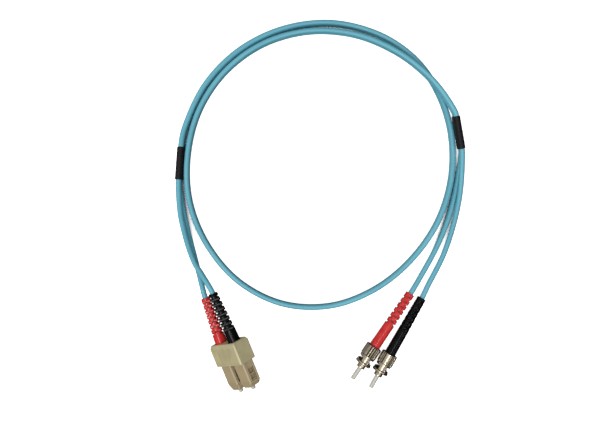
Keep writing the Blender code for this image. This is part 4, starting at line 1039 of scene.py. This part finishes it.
housing, plug_frame = housing_mesh(), frame_mesh()
for colour in ("red", "black"):
    add_piece(f"housing_{colour}", housing, "housing", "push_pull_grip",
              [f"plug_housing_{colour}"], at=grip[colour])
    add_piece(f"frame_{colour}", plug_frame, "frame", "cord_and_plugs",
              [f"plug_frame_{colour}"], at=plug[colour])
    add_piece(f"ferrule_square_{colour}", ferrule_mesh(FERRULE_OUT, -8.7), "ceramic",
              f"sprung_ferrule_{colour}", [f"plug_ferrule_{colour}"],
              at=plug[colour])

# %% [markdown]
# ## The bayonet plugs
#
# The barrel carries the ferrule and a key that fits the socket's slot.  Round it the nut
# turns and slides against its spring: it has a knurled grip with two smooth lands, a neck
# with two helical slots for the socket's pins, and a front rim.

# %% Bayonet nut
NUT_R = 4.6
NUT_NECK_R = 4.25
NUT_BORE_R = 3.65
NUT_RIM = -10.0
NUT_END = -21.9
KNURL_L = 6.6
KNURLS = 20
LANDS = (117.0, 297.0)
LAND_HALF = 18.0
SLOT = {"width": 2.1, "sweep": 130.0, "rise": 1.4, "start": 2.5, "detent": 0.3}
NUT_TURN = 6.0
KNURL_TURN = {"red": 16.0, "black": -26.0}


def knurl_tool(on):
    bm = bmesh.new()
    depth, half, over = 0.40, 0.46, 1.0
    spread = half * (depth + over) / depth
    for k in range(KNURLS):
        angle = 360 * k / KNURLS
        if min(abs((angle - land + 180) % 360 - 180) for land in LANDS) < LAND_HALF:
            continue
        turn = Matrix.Rotation(math.radians(angle + on), 3, "Z")
        section = [(NUT_R - depth, 0), (NUT_R + over, -spread), (NUT_R + over, spread)]
        ends = [[bm.verts.new(turn @ Vector((x, y, h))) for x, y in section]
                for h in (NUT_END - over, NUT_END + KNURL_L)]
        bm.faces.new(ends[0])
        bm.faces.new(ends[1])
        for a in range(3):
            b = (a + 1) % 3
            bm.faces.new((ends[0][a], ends[0][b], ends[1][b], ends[1][a]))
    return to_mesh(bm, "knurl")


def slot_tool(steps=18):
    bm = bmesh.new()
    inside, outside = NUT_BORE_R - 0.5, NUT_R + 0.5
    for first in (0, 180):
        rings = []
        for k in range(steps + 1):
            share = k / steps
            angle = math.radians(first + (share - 0.5) * SLOT["sweep"])
            middle = NUT_RIM - SLOT["start"] - SLOT["rise"] * share
            half = SLOT["width"] / 2 + (SLOT["detent"] / 2 if share > 0.93 else 0)
            spoke = Vector((math.cos(angle), math.sin(angle), 0))
            rings.append([spoke * d + Vector((0, 0, h))
                          for d, h in ((inside, middle - half), (outside, middle - half),
                                       (outside, middle + half), (inside, middle + half))])
        slot = skin("slot", rings)
        bm.from_mesh(slot)
    return to_mesh(bm, "slots")


def entry_tool():
    bm = bmesh.new()
    low, high = NUT_RIM - SLOT["start"], NUT_RIM + 1
    inside, outside = NUT_BORE_R - 0.5, NUT_R - 0.45
    for first in (0, 180):
        turn = Matrix.Rotation(math.radians(first - SLOT["sweep"] / 2 + 14), 4, "Z")
        spot = Matrix.Translation(((inside + outside) / 2, 0, (low + high) / 2))
        size = Matrix.Diagonal((outside - inside, SLOT["width"], high - low, 1))
        bmesh.ops.create_cube(bm, size=1, matrix=turn @ spot @ size)
    return to_mesh(bm, "entries")


def nut_mesh(knurl_turn):
    drop = NUT_R - NUT_NECK_R
    knurl_end = NUT_END + KNURL_L
    body = turned("nut", [
        (NUT_BORE_R, NUT_RIM), (NUT_R - 0.3, NUT_RIM), (NUT_R, NUT_RIM - 0.3),
        (NUT_R, NUT_RIM - 1.2), (NUT_NECK_R, NUT_RIM - 1.2 - drop), (NUT_NECK_R, knurl_end),
        (NUT_R, knurl_end - drop), (NUT_R, NUT_END + 0.3), (NUT_R - 0.3, NUT_END),
        (3.5, NUT_END), (3.5, -20.4), (2.35, -20.4), (2.35, -19.3), (NUT_BORE_R, -19.3)],
        edge=0.1, sides=160)
    for tool in (knurl_tool(knurl_turn), slot_tool(), entry_tool()):
        body = carved(body, tool)
    return eased(body, 0.10, sharp=32, segments=3)


for colour in ("red", "black"):
    nut = nut_mesh(KNURL_TURN[colour])
    nut.transform(Matrix.Rotation(math.radians(NUT_TURN), 4, "Z"))
    add_piece(f"nut_{colour}", nut, "nut", f"turning_nut_{colour}",
              [f"bayonet_nut_{colour}"], at=bayonet[colour], smooth=35)

# %% [markdown]
# The barrel is turned in one piece.  Only its keyed collar shows in front of the nut, and
# the ferrule stands out of it.

# %% Barrel, ferrule and the small turned pieces


def barrel_mesh():
    body = turned("barrel", [
        (1.35, -7.7), (2.35, -7.7), (2.35, -11.2), (3.3, -11.2), (3.3, -12.6), (2.2, -12.6),
        (2.2, -20.55), (1.85, -20.55), (1.85, -21.45), (2.2, -21.45), (2.2, -24.3),
        (1.75, -24.3), (1.75, -29.2), (0.7, -29.2), (0.7, -18.2), (1.35, -18.2)], edge=0.12)
    key = box_tool([((-0.65, 1.85, -11.9), (0.65, 3.05, -8.6))])
    return eased(carved(body, key, "UNION"), 0.06)


def washer_mesh():
    return turned("washer", [(2.4, -18.5), (3.35, -18.5), (3.35, -19.0), (2.4, -19.0)],
                  edge=0.08)


barrel, washer = barrel_mesh(), washer_mesh()
for colour in ("red", "black"):
    add_piece(f"barrel_{colour}", barrel, "barrel", "cord_and_plugs",
              [f"bayonet_barrel_{colour}"], at=bayonet[colour])
    add_piece(f"ferrule_round_{colour}", ferrule_mesh(0.0, -17.9), "ceramic",
              "cord_and_plugs", [f"bayonet_ferrule_{colour}"],
              at=bayonet[colour])
    add_piece(f"washer_{colour}", washer, "steel", f"nut_carriage_{colour}",
              [f"bayonet_washer_{colour}"], at=bayonet[colour])

# %% [markdown]
# Each spring is a round wire wound in a helix.  A rigid one would stick through whatever
# presses on it; here the spring is drawn at one length and does not close up as its joint
# moves.

# %% Springs
PLUG_SPRING = {"radius": 1.825, "wire": 0.45, "from": -9.9, "stop": -16.7, "curls": 6,
               "travel": 1.2}
NUT_SPRING = {"radius": 2.775, "wire": 0.5, "from": -18.2, "stop": -12.9, "curls": 4,
              "travel": 2.4}


def add_spring(name, spring, node, place):
    reach = abs(spring["from"] - spring["stop"])
    low = min(spring["from"], spring["stop"]) + spring["wire"] / 2
    count = 24 * spring["curls"]
    path = [Vector((spring["radius"] * math.cos(math.tau * k / 24),
                    spring["radius"] * math.sin(math.tau * k / 24),
                    low + (reach - spring["wire"]) * k / count)) for k in range(count + 1)]
    mesh, own = drawn(name, path, circle(spring["wire"] / 2, 12))
    piece = add_piece(name, mesh, "steel", "cord_and_plugs", [node], at=place)
    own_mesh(piece)


for colour in ("red", "black"):
    add_spring(f"ferrule_spring_{colour}", PLUG_SPRING, f"plug_spring_{colour}",
               plug[colour])
    add_spring(f"nut_spring_{colour}", NUT_SPRING, f"bayonet_spring_{colour}",
               bayonet[colour])

# %% [markdown]
# What stays hidden keeps its solid: rings, crimps, backbones and the buffered fibres.
# They still get real finishes, because the pieces show when a plug is taken apart.

# %% Finishes on the solids that stay
kept = {"plug_flange": "nickel", "plug_backbone": "nickel", "plug_crimp": "brass",
        "plug_fibre": "buffer", "bayonet_ring": "steel", "bayonet_crimp": "brass",
        "bayonet_fibre": "buffer"}
for name, solid in frame["nodes"].items():
    finish = kept.get(name.rsplit("_", 1)[0])
    if finish and not solid.hide_render:
        solid.data.materials.clear()
        solid.data.materials.append(finishes[finish])
        print(f"{name}: kept, {finish}")

# %% [markdown]
# ## Table and light
#
# The photograph was taken on a white ground that glows, so that it has hardly a shadow, and
# the rounded sides of every piece turn dark towards their edges.  The ground here is a wide
# white dish, flat under the cord and curving up far outside it.  It glows, but it throws no
# light on the cord: that comes from above and from the left, out of darker surroundings.

# %% White ground
FLAT_GROUND = 1.2
GROUND_RISE = 1.6
SHADE_REACH = 0.014    # a gap between cords as narrow as this is in shade,
PLUG_GROUND = (0.045, 0.060)           # but not in front of this, where the plugs lie
GAP_SHADE = (0.020, 0.060, 0.080)


def white_ground():
    finish = Finish("white_ground", Roughness=0.9, Specular_IOR_Level=0.0,
                    Emission_Strength=0.9)
    place = finish.node("ShaderNodeTexCoord", out=3)
    grain = finish.noise(place, 90.0)
    paper = finish.mixed(grain, (0.90, 0.90, 0.90), (0.92, 0.92, 0.92))
    sky = finish.node("ShaderNodeAmbientOcclusion", {"samples": 12}, {"Distance": SHADE_REACH},
                      out=1).within(0.24, 0.42)
    plugs = 1.0 - finish.axes(place)[1].within(*PLUG_GROUND)
    sky = sky.maths("MAXIMUM", plugs)
    return finish.feed(Base_Color=finish.mixed(sky, GAP_SHADE, paper),
                       Emission_Color=finish.mixed(sky, (0.0, 0.0, 0.0), (1.0, 1.0, 1.0)))


profile = [(1e-6, 0), (FLAT_GROUND, 0), (FLAT_GROUND + 0.6, 0), (FLAT_GROUND + 0.6, 0.6),
           (FLAT_GROUND + 0.6, GROUND_RISE)]
profile = softened(profile, 0.5, steps=12)
dish = skin("ground", [[(r * math.cos(math.tau * k / 96), r * math.sin(math.tau * k / 96),
                         h - 0.0002) for k in range(96)] for r, h in profile], caps=False)
dish.shade_smooth()
dish.materials.append(white_ground().material)
ground = bpy.data.objects.new("ground", dish)
bpy.context.scene.collection.objects.link(ground)
ground.visible_diffuse = ground.visible_glossy = ground.visible_shadow = False

# %% [markdown]
# One wide soft light hangs over the table, a little to the left.  The rest comes from the
# surroundings, which are bright towards the upper left and dark towards the lower right:
# that is what gives the nickel its dark and bright bands.

# %% Lights and surroundings


def soft_light(name, at, aim, size, power):
    light = bpy.data.lights.new(name, "AREA")
    light.shape, light.size, light.energy = "DISK", size, power
    holder = bpy.data.objects.new(name, light)
    holder.location = at
    holder.rotation_euler = (Vector(aim) - Vector(at)).to_track_quat("-Z", "Y").to_euler()
    holder.visible_camera = False
    bpy.context.scene.collection.objects.link(holder)
    return holder


class Surroundings(Finish):
    """The world's colours, which light the object from every direction."""

    def __init__(self, world):
        world.use_nodes = True
        self.nodes, self.links = world.node_tree.nodes, world.node_tree.links
        self.shader = self.nodes["Background"]


soft_light("over", (-0.18, -0.21, 0.78), (0, 0.05, 0), 0.20, 1.95)
soft_light("far", (-0.35, 0.85, 0.55), (0, 0.07, 0), 0.25, 0.4)
soft_light("right", (0.62, -0.30, 0.57), (0, 0.07, 0), 0.12, 0.85)
soft_light("glint", (0.03, -0.08, 0.85), (0, 0.02, 0), 0.06, 0.60)

BRIGHTEST = (-0.40, -0.10, 0.91)       # direction of the brightest part of the studio
CARD = (-0.80, 0.38, -0.46)            # direction of a white card low on the left
world = bpy.data.worlds.new("studio")
bpy.context.scene.world = world
studio = Surroundings(world)
direction = studio.node("ShaderNodeTexCoord", out=0)
toward = studio.node("ShaderNodeVectorMath", {"operation": "DOT_PRODUCT"},
                     {0: direction, 1: BRIGHTEST}, out=1)
shades = [(0.0, (0.05, 0.05, 0.05)), (0.48, (0.03, 0.03, 0.03)), (0.62, (0.07, 0.07, 0.07)),
          (0.80, (0.65, 0.65, 0.65)), (1.0, (1.0, 1.0, 1.0))]
card = studio.node("ShaderNodeVectorMath", {"operation": "DOT_PRODUCT"},
                   {0: direction, 1: CARD}, out=1).within(0.55, 0.90)
room = studio.node("ShaderNodeValToRGB", {"stops": shades}, {"Fac": toward * 0.5 + 0.5})
studio.feed(Color=studio.mixed(card, room, (0.50, 0.48, 0.44)))
bpy.context.scene.view_settings.view_transform = "Standard"
